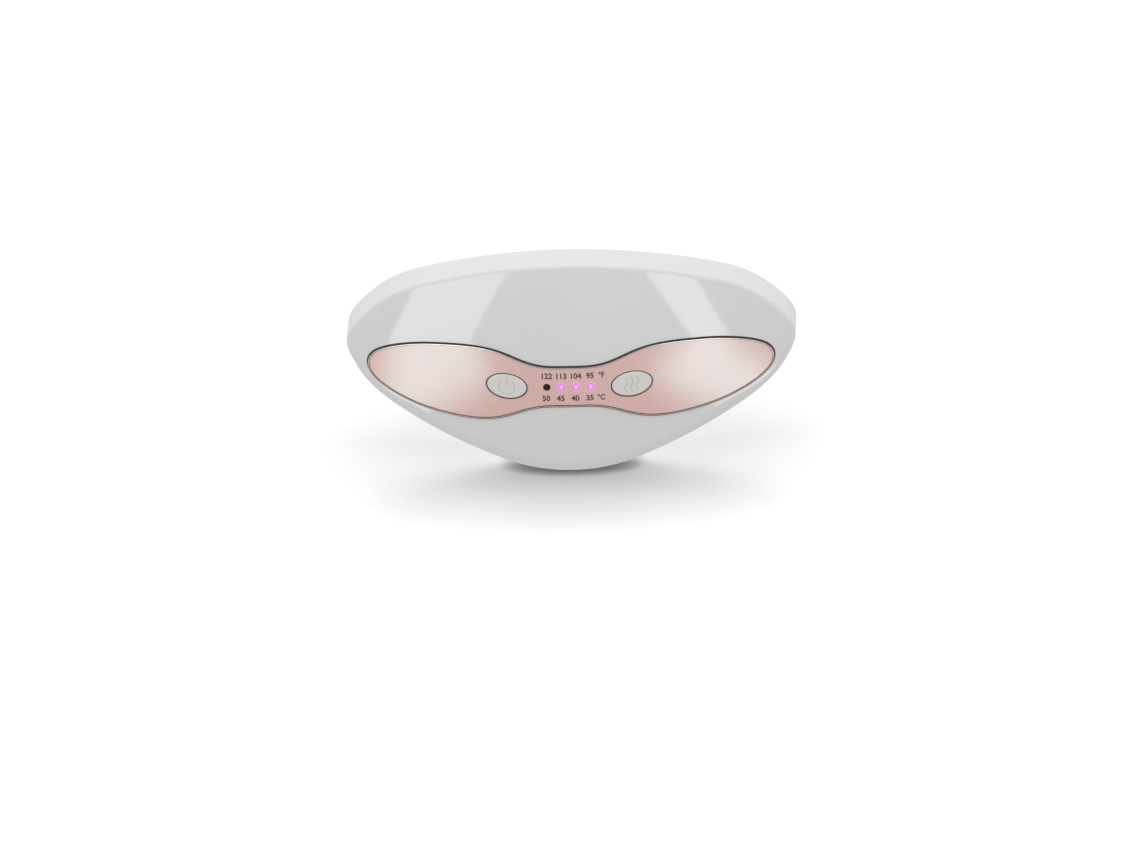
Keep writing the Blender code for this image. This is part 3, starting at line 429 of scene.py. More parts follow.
class Finish:
    """A node material, with helpers that add one node each."""

    def __init__(self, name, roughness=0.5, metallic=0.0, **sockets):
        self.material = bpy.data.materials.new(name)
        self.material.use_nodes = True
        self.tree = self.material.node_tree
        self.shader = self.tree.nodes["Principled BSDF"]
        self.set("Roughness", roughness)
        self.set("Metallic", metallic)
        for key, value in sockets.items():
            self.set(key.replace("_", " "), value)

    def set(self, socket, value):
        self.shader.inputs[socket].default_value = value

    def node(self, kind, settings=None, **links):
        """A node with its settings, and with its inputs given as numbers or as outputs."""
        made = self.tree.nodes.new(kind)
        for key, value in (settings or {}).items():
            setattr(made, key, value)
        for key, value in links.items():
            index = int(key[1:]) if key[1:].isdigit() else key.replace("_", " ")
            if isinstance(value, bpy.types.NodeSocket):
                self.tree.links.new(value, made.inputs[index])
            else:
                made.inputs[index].default_value = value
        return made

    def link(self, output, socket):
        self.tree.links.new(output, self.shader.inputs[socket])

    def place(self, stretch=(1, 1, 1)):
        where = self.node("ShaderNodeTexCoord").outputs["Object"]
        return self.node("ShaderNodeMapping", Vector=where, Scale=stretch).outputs[0]

    def noise(self, size, detail=3.0, stretch=(1, 1, 1), roughness=0.5):
        """Noise whose features are about the given size, in metres."""
        return self.node("ShaderNodeTexNoise", Vector=self.place(stretch), Scale=1 / size,
                         Detail=detail, Roughness=roughness).outputs[0]

    def span(self, value, low, high, start=0.35, end=0.65):
        """The value from start to end, mapped to the range from low to high."""
        return self.node("ShaderNodeMapRange", i0=value, i1=start, i2=end, i3=low,
                         i4=high).outputs[0]

    def math(self, operation, first, second=0.0):
        return self.node("ShaderNodeMath", {"operation": operation}, i0=first,
                         i1=second).outputs[0]

    def mix(self, share, first, second):
        made = self.node("ShaderNodeMix", {"data_type": "RGBA"}, Factor=share)
        for socket, value in ((made.inputs[6], first), (made.inputs[7], second)):
            if isinstance(value, bpy.types.NodeSocket):
                self.tree.links.new(value, socket)
            else:
                socket.default_value = (*value, 1)
        return made.outputs[2]

    def bump(self, height, distance, strength=1.0, base=None):
        made = self.node("ShaderNodeBump", Height=height, Distance=distance,
                         Strength=strength)
        if base is not None:
            self.tree.links.new(base, made.inputs["Normal"])
        return made.outputs[0]

    def distance_from(self, x, z):
        """Distance from a line along Y."""
        where = self.node("ShaderNodeTexCoord").outputs["Object"]
        level = self.node("ShaderNodeVectorMath", {"operation": "MULTIPLY"}, i0=where,
                          i1=(1, 0, 1)).outputs[0]
        return self.node("ShaderNodeVectorMath", {"operation": "DISTANCE"}, i0=level,
                         i1=(x, 0, z)).outputs["Value"]


def shade(colour, factor):
    return tuple(min(1.0, channel * factor) for channel in colour)


def moulded(name, colour, roughness, mottle=0.03, patch=18 * MM, grain=0.5 * MM,
            relief=0.004 * MM, spread=0.04, metallic=0.0, **sockets):
    """Plastic or plated metal: soft mottling, uneven gloss and a fine surface grain."""
    finish = Finish(name, roughness, metallic, **sockets)
    cloud = finish.noise(patch)
    finish.link(finish.mix(finish.span(cloud, 0, 1), shade(colour, 1 - mottle),
                           shade(colour, 1 + mottle)), "Base Color")
    fine = finish.noise(grain, detail=2.0)
    gloss = finish.noise(patch / 4, detail=4.0)
    finish.link(finish.span(gloss, roughness - spread, roughness + spread), "Roughness")
    finish.link(finish.bump(fine, relief), "Normal")
    return finish


def brushed(name, colour, roughness, metallic=1.0, line=0.12 * MM, **sockets):
    """Metal with fine lines along X."""
    finish = Finish(name, roughness, metallic, **sockets)
    lines = finish.noise(line, detail=2.0, stretch=(0.02, 1, 1))
    cloud = finish.noise(12 * MM)
    base = finish.mix(finish.span(cloud, 0, 1), shade(colour, 0.96), shade(colour, 1.04))
    finish.link(finish.mix(finish.span(lines, 0, 0.12), base, shade(colour, 0.8)),
                "Base Color")
    finish.link(finish.span(lines, roughness - 0.04, roughness + 0.06), "Roughness")
    finish.link(finish.bump(lines, 0.002 * MM), "Normal")
    return finish


def knitted(name, colour, stitch=1.1 * MM, relief=0.12 * MM, **sockets):
    """A fine knit: staggered loops in the plane of the face, with fuzz between them."""
    finish = Finish(name, 0.9, 0.0, Sheen_Weight=0.35, Sheen_Roughness=0.5, **sockets)
    wave = {"wave_type": "BANDS", "wave_profile": "SIN"}
    turn = 2 * math.pi
    across = finish.node("ShaderNodeTexWave", {**wave, "bands_direction": "X"},
                         Vector=finish.place(), Scale=1 / stitch / turn * 2, Distortion=0.4,
                         Detail=1.0, Detail_Scale=1.5).outputs["Fac"]
    along = finish.node("ShaderNodeTexWave", {**wave, "bands_direction": "Z"},
                        Vector=finish.place(), Scale=1 / stitch / turn * 3, Distortion=0.6,
                        Detail=1.0, Detail_Scale=1.5).outputs["Fac"]
    loops = finish.math("MULTIPLY", across, along)
    fuzz = finish.noise(0.25 * MM, detail=3.0)
    cloud = finish.noise(14 * MM)
    base = finish.mix(finish.span(cloud, 0, 1), shade(colour, 0.92), shade(colour, 1.06))
    # painted shade: the knit is darker in the hollows between its loops
    base = finish.mix(finish.span(loops, 0.55, 0.0, 0.0, 0.7), base, shade(colour, 0.45))
    base = finish.mix(finish.span(fuzz, 0.0, 0.25), base, shade(colour, 1.25))
    finish.link(base, "Base Color")
    under = finish.bump(fuzz, relief * 0.3)
    finish.link(finish.bump(loops, relief, base=under), "Normal")
    return finish


WHITE = (0.62, 0.62, 0.618)
ROSE = (0.70, 0.365, 0.315)

white_gloss = moulded("white_gloss", WHITE, 0.09, mottle=0.012, patch=35 * MM,
                      grain=2.5 * MM, relief=0.0012 * MM, spread=0.02, Coat_Weight=0.35,
                      Coat_Roughness=0.03, IOR=1.5)
white_matte = moulded("white_matte", (0.60, 0.60, 0.59), 0.48, mottle=0.02,
                      grain=0.35 * MM, relief=0.012 * MM)
# Near black: a painted dark reflection on the trim's chamfer, and a painted shadow in the
# buttons' gaps.
dark_painted_reflection_and_shade = moulded("dark_painted_reflection_and_shade", (0.050, 0.044, 0.041), 0.12, mottle=0.08, patch=6 * MM,
                    spread=0.03, relief=0.001 * MM, metallic=1.0)
trim_bright = moulded("trim_bright", (0.62, 0.59, 0.58), 0.10, mottle=0.05, patch=8 * MM,
                      spread=0.03, relief=0.001 * MM, metallic=1.0)
# A lighter rose than the panel: partly the rings' own rose, partly a painted rim highlight.
light_rose_painted_highlight = moulded("light_rose_painted_highlight", (0.80, 0.56, 0.51), 0.2, mottle=0.04, patch=4 * MM,
                   relief=0.001 * MM)
button_grey = moulded("button_grey", (0.62, 0.605, 0.575), 0.36, mottle=0.02, patch=5 * MM,
                      grain=0.3 * MM, relief=0.006 * MM)
# Darker than the button's grey: painted shade on the icons' raised strokes.
icon_grey_painted_shade = moulded("icon_grey_painted_shade", (0.50, 0.49, 0.465), 0.3, mottle=0.03, patch=2 * MM,
                    grain=0.3 * MM, relief=0.003 * MM)
ink = moulded("scale_ink", (0.085, 0.022, 0.022), 0.55, mottle=0.12, patch=1.5 * MM,
              grain=0.1 * MM, relief=0.004 * MM)
board_green = moulded("board_green", (0.02, 0.16, 0.06), 0.38, mottle=0.15, patch=3 * MM)
black_plastic = moulded("black_plastic", (0.022, 0.022, 0.024), 0.45, mottle=0.2,
                        patch=4 * MM, relief=0.01 * MM)
steel = brushed("steel", (0.60, 0.60, 0.61), 0.28)
brass = brushed("brass", (0.70, 0.54, 0.27), 0.30)
battery_wrap = moulded("battery_wrap", (0.06, 0.16, 0.42), 0.30, mottle=0.1, patch=9 * MM)
heater_film = moulded("heater_film", (0.72, 0.34, 0.05), 0.25, mottle=0.12, patch=3 * MM)
led_white = moulded("led_white", (0.86, 0.84, 0.68), 0.4, mottle=0.05, patch=1 * MM)
cable_black = moulded("cable_black", (0.03, 0.03, 0.03), 0.5, mottle=0.2, patch=2 * MM)
cable_red = moulded("cable_red", (0.55, 0.035, 0.03), 0.5, mottle=0.15, patch=2 * MM)
cushion_knit = knitted("cushion_knit", (0.50, 0.49, 0.485))
pad_knit = knitted("pad_knit", (0.075, 0.075, 0.085), stitch=0.8 * MM, relief=0.08 * MM)
piping_knit = knitted("piping_knit", (0.40, 0.39, 0.385), stitch=0.6 * MM, relief=0.05 * MM)


def painted_glow(finish, centres, reach, peak):
    """Painted glow: how brightly each place near the lit lights shines, falling off with
    distance.
    """
    total = None
    for x in centres:
        near = finish.distance_from(x, 0)
        share = finish.span(near, peak, 0.0, LENS_RADIUS * 0.8, reach)
        total = share if total is None else finish.math("MAXIMUM", total, share)
    return total


def rose_finish():
    """Satin rose-gold plating under a clear coat, with a painted glow of the lit lights on it.
    """
    finish = Finish("rose_gold", 0.25, IOR=2.4, Specular_Tint=(0.50, 0.96, 1, 1),
                    Emission_Color=(0.60, 0.05, 0.75, 1))
    cloud = finish.noise(20 * MM)
    fine = finish.noise(0.16 * MM, detail=2.0, stretch=(0.05, 1, 1))
    base = finish.mix(finish.span(cloud, 0, 1), shade(ROSE, 0.975), shade(ROSE, 1.025))
    base = finish.mix(finish.span(fine, 0, 0.10), base, shade(ROSE, 1.12))
    finish.link(base, "Base Color")
    finish.link(finish.span(fine, 0.22, 0.28), "Roughness")
    finish.link(finish.bump(fine, 0.0008 * MM), "Normal")
    # painted glow: the panel itself shines round the lit lights
    finish.link(painted_glow(finish, LED_XS[1:], LENS_RADIUS * 1.75, 0.4), "Emission Strength")
    return finish


def lens_finish(name, x, lit):
    if not lit:
        return moulded(name, (0.03, 0.004, 0.004), 0.5, mottle=0.2, patch=1 * MM,
                       Specular_IOR_Level=0.2)
    finish = Finish(name, 0.3)
    near = finish.span(finish.distance_from(x, 0), 0, 1, 0.25 * LENS_RADIUS, LENS_RADIUS)
    speck = finish.noise(0.3 * MM)
    hue = finish.mix(near, (1.0, 0.50, 1.0), (0.80, 0.17, 0.80))
    hue = finish.mix(finish.span(speck, 0, 0.12), hue, (1.0, 0.7, 1.0))
    finish.link(finish.mix(near, (0.10, 0.02, 0.10), (0.05, 0.01, 0.05)), "Base Color")
    finish.link(hue, "Emission Color")
    finish.set("Emission Strength", 0.85)
    return finish


rose_gold = rose_finish()


def dress(thing, *finishes):
    thing.data.materials.clear()
    for finish in finishes:
        thing.data.materials.append(finish.material)


def settle(thing, finish, body="housing", nodes=()):
    """Give a piece its finish and its body, and hide the CAD nodes that it stands for."""
    if finish is not None:
        dress(thing, finish)
    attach(thing, body)
    if nodes:
        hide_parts(*nodes)
    return thing


# ---- housing ------------------------------------------------------------------------------

COLUMNS = 96  # points along each of the upper and lower halves of a large loop
EDGE_STEPS = 10  # faces round the housing's edge
CUT_REACH = 4 * MM  # how far a cutter reaches out of and into a surface


def housing_loop():
    return smooth_loop(mirrored_half(HOUSING_KNOTS), COLUMNS)


def panel_loop():
    return smooth_loop(mirrored_quarter(PANEL_KNOTS), COLUMNS)


def edge_radius(loop):
    start, stop = EDGE_BLEND
    down = np.clip((start - loop.normals[:, 1]) / (start - stop), 0, 1)
    radius = TOP_EDGE + (BOTTOM_EDGE - TOP_EDGE) * ease(down)
    to_panel = np.linalg.norm(loop.points[:, None] - panel_loop().points[None], axis=2)
    return np.minimum(radius, to_panel.min(axis=1) - EDGE_MARGIN)


def facing_loop(loop, other):
    """The loop with the points near its ends slid along it, to face those of the other loop."""
    slide_from_x, full_slide_x = 60 * MM, 85 * MM
    count = len(loop.points)
    window = np.arange(-10, 10.1, 0.25)
    rows = np.concatenate([np.column_stack([loop.points, loop.normals])] * 3)

    def at(index):
        columns = [np.interp(index + count, np.arange(3 * count), rows[:, i]) for i in range(4)]
        return np.column_stack(columns)

    slid = []
    for index, point in enumerate(other.points):
        choices = at(index + window)[:, :2]
        shift = window[np.argmin(np.linalg.norm(choices - point, axis=1))]
        share = (abs(point[0]) - slide_from_x) / (full_slide_x - slide_from_x)
        slid.append(index + shift * ease(np.clip(share, 0, 1)))
    slid = at(np.array(slid))
    normals = slid[:, 2:] / np.linalg.norm(slid[:, 2:], axis=1)[:, None]
    return Loop(slid[:, :2], normals)


def port_station(loop):
    """The charging socket's place: +Y goes in through the lower wall, +Z to the front."""
    port_x = 56 * MM
    lower = range(len(loop.points) // 2 + 1, len(loop.points))
    near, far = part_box("charge_port")
    place = min(lower, key=lambda i: abs(loop.points[i, 0] - port_x))
    x, z = loop.points[place]
    normal_x, normal_z = loop.normals[place]
    inward = Vector((-normal_x, 0, -normal_z))
    along = Vector((-normal_z, 0, normal_x))
    axes = Matrix((along, inward, along.cross(inward))).transposed().to_4x4()
    return Matrix.Translation((x, (near.y + far.y) / 2, z)) @ axes


def rounded_bar(width, height):
    """An outline with round ends, about the origin."""
    radius = height * 0.49
    steps = 8
    points, normals = [], []
    for side, level, start in ((-1, 1, 180), (1, 1, 90), (1, -1, 0), (-1, -1, -90)):
        corner = (side * (width / 2 - radius), level * (height / 2 - radius))
        for step in range(steps + 1):
            angle = math.radians(start - 90 * step / steps)
            normals.append((math.cos(angle), math.sin(angle)))
            points.append((corner[0] + radius * normals[-1][0],
                           corner[1] + radius * normals[-1][1]))
    return Loop(np.array(points), np.array(normals))


def light_hole(number, x, gap):
    """A cutter for an indicator light's hole."""
    steps = [(LENS_RADIUS + gap, FRONT_Y + side * CUT_REACH) for side in (-1, 1)]
    return turned(f"hole_{number}", steps, (x, 0))


def button_window(side, sign, grow):
    """A cutter for a button's opening."""
    return plate(f"window_{side}", button_loop(sign, grow), front(-CUT_REACH), front(CUT_REACH))


def make_housing_front():
    outer = housing_loop()
    radius = edge_radius(outer)
    inner = inset(outer, WALL)
    inner_radius = np.maximum(radius - WALL, GAP)
    end = inset(outer, radius)
    seat = inset(facing_loop(panel_loop(), end), -SEAM)
    lip, lip_steps = 0.15 * MM, 3
    rings = [ring(seat, front(RECESS)), ring(seat, front(lip))]
    for step in range(1, lip_steps + 1):
        angle = math.pi / 2 * step / lip_steps
        rings.append(ring(inset(seat, -lip * (1 - math.cos(angle))),
                          front(lip * (1 - math.sin(angle)))))
    start = inset(seat, -lip)
    # the rings on the face lie closer together at the panel and at the edge
    for share in (0.01, 0.03, 0.08, *np.linspace(0.16, 0.9, 10), 0.96, 0.985, 0.996):
        blend = Loop(start.points * (1 - share) + end.points * share, start.normals)
        rings.append(ring(blend, front(0)))
    rolled = edge_rings(outer, radius, front(0), EDGE_STEPS)
    rings += rolled
    wall_start = 0.4 * MM
    rings.append(ring(outer, lambda x, z: front(wall_start)(x, z) + radius))
    lip_edge = 0.25 * MM
    rings += [ring(outer, rear(-lip_edge)), ring(inset(outer, lip_edge), rear(0)),
              ring(inset(outer, WALL - lip_edge), rear(0)), ring(inner, rear(-lip_edge))]
    rings += edge_rings(inner, inner_radius, front(SKIN), steps=3)[::-1]
    shell = loft("housing_front", rings, front(RECESS), front(SKIN), rows=8, smooth=40)
    tools = [button_window(side, sign, GAP) for side, sign in SIDES]
    tools += [light_hole(number, x, GAP) for number, x in enumerate(LED_XS)]
    socket = inset(rounded_bar(8.9 * MM, 3.2 * MM), -GAP)
    hole = plate("port_hole", socket, flat(-CUT_REACH), flat(CUT_REACH + 1 * MM))
    hole.data.transform(port_station(outer))
    cut(shell, tools + [hole])
    edge = zip(np.concatenate(rolled), np.concatenate(edge_normals(outer, EDGE_STEPS)))
    true_normals(shell, front(0), front_normal, list(edge))
    settle(shell, white_gloss, nodes=["front_shell"])


def make_port_tongue():
    """The contact tongue inside the charging socket."""
    station = port_station(housing_loop())
    bar = rounded_bar(6.6 * MM, 0.7 * MM)
    tongue = plate("port_tongue", bar, flat(1.6 * MM), flat(6.2 * MM))
    tongue.data.transform(station)
    settle(tongue, black_plastic)


# ---- panel --------------------------------------------------------------------------------


def rounded_profile(corners, radius, steps=3):
    """An open polyline of (inset, offset) points with its inner corners rounded."""
    corners = [Vector(corner) for corner in corners]
    points = [corners[0]]
    for before, here, after in zip(corners, corners[1:], corners[2:]):
        start = here + (before - here).normalized() * radius
        end = here + (after - here).normalized() * radius
        for step in range(steps + 1):
            t = step / steps
            points.append(start * (1 - t) ** 2 + here * 2 * t * (1 - t) + end * t * t)
    return points + [corners[-1]]


def make_trim():
    loop = panel_loop()
    seat = RECESS - GAP
    corners = [(0, seat), (0, TRIM_CHAMFER - TRIM_PROUD), (TRIM_CHAMFER, -TRIM_PROUD),
               (TRIM_WIDTH, -TRIM_PROUD), (TRIM_WIDTH, seat)]
    profile = rounded_profile(corners, 0.10 * MM)
    rings = [ring(inset(loop, d), front(offset)) for d, offset in profile]
    trim = hoop("trim_ring", rings, smooth=60)
    settle(trim, None, nodes=["panel_trim"])
    dress(trim, dark_painted_reflection_and_shade, trim_bright, light_rose_painted_highlight)
    # Painted reflection and highlight: the chamfer and walls are near black for the dark the
    # chrome reflects there, and the front-facing lip is chrome above the middle and light rose
    # below it, for its pink highlight line.
    for face in trim.data.polygons:
        facing = face.normal.dot(front_normal(face.center.x, face.center.z))
        lip_painted_by_side = 1 if face.center.z > 0 else 2
        face.material_index = lip_painted_by_side if facing > 0.99 else 0


def make_panel():
    loop = inset(panel_loop(), TRIM_WIDTH + SEAM)
    top, seat = front(-PANEL_PROUD), front(RECESS - GAP)
    chamfer = 0.25 * MM
    rings = [ring(inset(loop, 1.0 * MM), top), ring(inset(loop, chamfer), top),
             ring(inset(loop, chamfer * 0.35), front(chamfer * 0.2 - PANEL_PROUD)),
             ring(loop, front(chamfer - PANEL_PROUD)), ring(loop, seat)]
    panel = loft("panel_face", rings, top, seat, rows=13)
    tools = [button_window(side, sign, GAP + BEZEL_WIDTH + SEAM) for side, sign in SIDES]
    tools += [light_hole(number, x, GAP / 2) for number, x in enumerate(LED_XS)]
    cut(panel, tools)
    true_normals(panel, top, front_normal)
    settle(panel, rose_gold, nodes=["control_panel"])


def make_bezel(kind, sign):
    inner, outer = button_loop(sign, GAP), button_loop(sign, GAP + BEZEL_WIDTH)
    corners = [(0, RECESS - GAP), (0, -PANEL_PROUD), (BEZEL_WIDTH / 2, -BEZEL_PROUD),
               (BEZEL_WIDTH, BEZEL_WIDTH / 4 - BEZEL_PROUD), (BEZEL_WIDTH, RECESS - GAP)]
    profile = rounded_profile(corners, 0.12 * MM, steps=4)
    rings = []
    for d, offset in profile:
        share = d / BEZEL_WIDTH
        blend = Loop(outer.points * (1 - share) + inner.points * share, outer.normals)
        rings.append(ring(blend, front(offset)))
    bezel = hoop(f"{kind}_bezel_ring", rings, smooth=60)
    settle(bezel, None, nodes=[f"{kind}_bezel"])
    dress(bezel, light_rose_painted_highlight, dark_painted_reflection_and_shade)
    # Painted shade and highlight: the inner half is near black for the shadow in the button's
    # gap, the outer half light rose for the rim highlight.
    outside = len(outer.points) * (len(profile) // 2)
    for face in bezel.data.polygons:
        face.material_index = 0 if min(face.vertices) < outside else 1


ICON_WIDTH, ICON_HEIGHT = 0.7 * MM, 0.14 * MM


def on_button(sign, u, v):
    """A point on a button's face, from its own level and upright axes."""
    cos, sin = math.cos(BUTTON_TILT), sign * math.sin(BUTTON_TILT)
    x, z = sign * BUTTON_X + u * cos - v * sin, u * sin + v * cos
    return Vector((x, front(-BUTTON_PROUD)(x, z), z))


def relief_line(name, sign, path):
    """A low raised line with a half-round section, along a path of (u, v) on a button."""
    sunk, arc_steps = 0.05 * MM, 6
    mesh = bmesh.new()
    rows = []
    path = [Vector(point) for point in path]
    for index, here in enumerate(path):
        before, after = path[max(index - 1, 0)], path[min(index + 1, len(path) - 1)]
        along = (after - before).normalized()
        across = Vector((-along.y, along.x))
        at_end = index in (0, len(path) - 1)
        row = []
        for step in range(arc_steps + 1):
            angle = math.pi * step / arc_steps
            reach = math.cos(angle) * ICON_WIDTH / 2 * (0.55 if at_end else 1)
            rise = math.sin(angle) * ICON_HEIGHT * (0.3 if at_end else 1)
            point = on_button(sign, *(here + across * reach))
            point.y += sunk - rise
            row.append(mesh.verts.new(point))
        for side in (-1, 1):
            point = on_button(sign, *(here + across * side * ICON_WIDTH / 2))
            point.y += 4 * sunk
            row.append(mesh.verts.new(point))
        rows.append(row)
    for first, second in zip(rows, rows[1:]):
        bridge(mesh, first, second)
    mesh.faces.new(rows[0])
    mesh.faces.new(rows[-1])
    return to_object(name, mesh, smooth=50)


def make_button(kind, sign):
    cap_loop, flange_loop = button_loop(sign), button_loop(sign, FLANGE_WIDTH)
    top = front(-BUTTON_PROUD)
    board_face = FRONT_Y + BOARD_DEPTH
    stem = ellipse((sign * BUTTON_X, 0), 2.0 * MM, 2.0 * MM)
    stem_end = board_face - SWITCH_HEIGHT - PLUNGER_PROUD - 2 * GAP
    behind = SKIN + GAP
    rings = [ring(inset(cap_loop, BUTTON_EDGE * 1.6), top)]
    rings += edge_rings(cap_loop, BUTTON_EDGE, top, steps=6)
    rings += [ring(cap_loop, front(behind)), ring(flange_loop, front(behind)),
              ring(flange_loop, front(behind + FLANGE)), ring(stem, front(behind + FLANGE)),
              ring(stem, flat(stem_end))]
    button = loft(f"{kind}_button_cap", rings, top, flat(stem_end), rows=10)
    body = f"{kind}_button"
    settle(button, button_grey, body, nodes=[f"{kind}_button"])
    return body


def make_power_icon(body):
    arc = [math.radians(a) for a in np.linspace(125, 415, 40)]
    ring_path = [(3.5 * MM * math.cos(a), 3.1 * MM * math.sin(a) - 0.4 * MM) for a in arc]
    bar = [(0, v * MM) for v in np.linspace(0.2, 4.1, 8)]
    parts = [relief_line("icon_arc", -1, ring_path), relief_line("icon_bar", -1, bar)]
    settle(join("power_icon", parts), icon_grey_painted_shade, body)


def make_heat_icon(body):
    parts = []
    for number, (start, half) in enumerate(((-2.4, 3.2), (0.0, 3.9), (2.4, 3.2))):
        path = [((start + 0.65 * math.sin(v * 1.25) + 0.10 * v) * MM, v * MM)
                for v in np.linspace(-half, half, 30)]
        parts.append(relief_line(f"icon_wave_{number}", 1, path))
    settle(join("heat_icon", parts), icon_grey_painted_shade, body)


def make_lens(number, x):
    board_face = FRONT_Y + BOARD_DEPTH
    face = front(-PANEL_PROUD - LENS_PROUD)(x, 0)
    end = board_face - 2 * GAP - LED_HEIGHT
    dome = [(LENS_RADIUS * math.sin(a), face + 0.35 * MM * (1 - math.cos(a)))
            for a in np.linspace(0.15, math.pi / 2, 8)]
    lens = turned(f"indicator_{number}", dome + [(LENS_RADIUS, end)], (x, 0))
    finish = lens_finish(f"indicator_{number}", x, lit=number > 1)
    settle(lens, finish, nodes=[f"led_lens_{number}"])


def make_scale():
    """The printed temperature scale, a thin layer of ink on the panel."""
    ink_layer = 0.02 * MM
    unit_x = 14.2 * MM
    # each row has its level, its shift to the right in millimetres, and its labels
    rows = ((4.95, -0.1, ("122", "113", "104", "95", "°F")),
            (-5.25, -0.35, ("50", "45", "40", "35", "°C")))
    parts = []
    surface = front(-PANEL_PROUD - ink_layer)
    for level, shift, labels in rows:
        for x, label in zip(LED_XS + [unit_x], labels):
            widen = 0.86 if label.startswith("°") else 0.98
            text = bpy.data.curves.new("label", "FONT")
            text.body = label
            text.size = 3.5 * MM
            text.align_x, text.align_y = "CENTER", "CENTER"
            text.extrude = ink_layer
            text.offset = 0.1 * MM
            text.resolution_u = 4
            part = curve_to_mesh("label_mesh", text)
            for vertex in part.data.vertices:
                u, v, lift = vertex.co
                px, pz = x + shift * MM + u * widen, level * MM + v
                vertex.co = (px, surface(px, pz) - lift, pz)
            parts.append(part)
    settle(join("scale_print", parts), ink)


# ---- wearer's side ------------------------------------------------------------------------


def eye_loop(sign, half, columns=40):
    return ellipse((sign * EYE_CENTRE[0], EYE_CENTRE[1]), *half, columns=columns)


def swollen(name, node, base, voxel, most_moved, start_smaller):
    """A padded piece: the CAD solid remeshed, then swollen as cloth with its base held.

    It starts smaller by the given amount, and no point moves more than most_moved.
    """
    steps = 20
    thing = add_object(name, bpy.data.objects[node].data.copy())
    thing.data.materials.clear()
    remesh = thing.modifiers.new("remesh", "REMESH")
    remesh.mode, remesh.voxel_size = "VOXEL", voxel
    apply_modifiers(thing)
    data = thing.data
    places = np.array([v.co for v in data.vertices])
    normals = np.array([v.vector for v in data.vertex_normals])
    height = places[:, 1] - base(places[:, 0], places[:, 2])
    held = np.clip(1 - (height - 1.5 * MM) / (3 * MM), 0, 1)
    shrunk = places - normals * (start_smaller * (1 - held))[:, None]
    data.vertices.foreach_set("co", shrunk.ravel())
    group = thing.vertex_groups.new(name="held")
    for index, weight in enumerate(held):
        group.add([index], float(weight), "REPLACE")
    cloth = thing.modifiers.new("swell", "CLOTH")
    cloth.settings.use_pressure = True
    cloth.settings.uniform_pressure_force = 4
    cloth.settings.vertex_group_mass = "held"
    cloth.settings.tension_stiffness = 20
    cloth.settings.compression_stiffness = 20
    cloth.settings.bending_stiffness = 0.5
    cloth.settings.effector_weights.gravity = 0
    cloth.collision_settings.use_collision = False
    cloth.point_cache.frame_start, cloth.point_cache.frame_end = 1, steps
    for step in range(1, steps + 1):
        bpy.context.scene.frame_set(step)
    apply_modifiers(thing)
    data = thing.data
    moved = np.array([v.co for v in data.vertices])
    drift = moved - shrunk
    length = np.linalg.norm(drift, axis=1)
    drift *= np.minimum(1, most_moved / np.maximum(length, 1e-9))[:, None]
    data.vertices.foreach_set("co", (shrunk + drift).ravel())
    bpy.context.scene.frame_set(1)
    thing.vertex_groups.clear()
    relax = thing.modifiers.new("relax", "SMOOTH")
    relax.factor, relax.iterations = 0.5, 4
    finer = thing.modifiers.new("finer", "SUBSURF")
    finer.levels = finer.render_levels = 1
    apply_modifiers(thing)
    thing.data.shade_smooth()
    return thing


def cushion_outline():
    """The cushion's outline in X and Z, with the nose notch cut out of its lower side."""
    loop = inset(housing_loop(), CUSHION_INSET)
    points = loop.points * np.array([CUSHION_SQUEEZE, 1])
    level, half_width, half_height = NOSE_NOTCH
    inside = (points[:, 0] / half_width) ** 2 + ((points[:, 1] - level) / half_height) ** 2 < 1
    kept = points[~inside]
    # the loop runs clockwise from its left end, so the notch falls between its two lower parts
    lower_right = np.where((kept[:, 1] < 0) & (kept[:, 0] > 0))[0][-1]
    corner = kept[lower_right]
    start = math.atan2((corner[1] - level) / half_height, corner[0] / half_width)
    arc = [(half_width * math.cos(a), level + half_height * math.sin(a))
           for a in np.linspace(start, math.pi - start, 40)]
    outline = np.concatenate([kept[: lower_right + 1], arc[1:-1], kept[lower_right + 1 :]])
    for _ in range(3):
        outline = (np.roll(outline, 1, axis=0) + 2 * outline + np.roll(outline, -1, axis=0)) / 4
    return outline


def even_points(points, count):
    """The closed line of points, resampled at an even spacing."""
    closed = np.concatenate([points, points[:1]])
    steps = np.linalg.norm(np.diff(closed, axis=0), axis=1)
    walked = np.concatenate([[0], np.cumsum(steps)])
    where = np.linspace(0, walked[-1], count, endpoint=False)
    return np.column_stack([np.interp(where, walked, closed[:, i]) for i in range(2)])


def make_cushion():
    cushion = swollen("cushion_cover", "face_cushion", face_bend(GAP), voxel=1.6 * MM,
                      most_moved=1.5 * MM, start_smaller=1.0 * MM)
    settle(cushion, cushion_knit, nodes=["face_cushion"])
    outline = even_points(cushion_outline(), 320)
    middle = outline.mean(axis=0)
    inner = middle + (outline - middle) * 0.985
    surface = face_bend(GAP + CUSHION - 3.6 * MM)
    path = [(x, surface(x, z), z) for x, z in inner]
    cords = [closed_tube("piping_outer", path, 0.75 * MM)]
    for side, sign in SIDES:
        loop = eye_loop(sign, EYE_OPENING)
        rim = face_bend(GAP + CUSHION - 1.5 * MM)
        path = [(x, rim(x, z), z) for x, z in loop.points]
        cords.append(closed_tube(f"piping_{side}", path, 0.65 * MM))
    settle(join("cushion_piping", cords), piping_knit)


def make_eye_pad(side):
    base = rear(2 * GAP + HEATER_FILM)
    pad = swollen(f"{side}_eye_pad_cover", f"{side}_eye_pad", base, voxel=1.1 * MM,
                  most_moved=1.0 * MM, start_smaller=0.5 * MM)
    settle(pad, pad_knit, nodes=[f"{side}_eye_pad"])


# ---- assembly -----------------------------------------------------------------------------


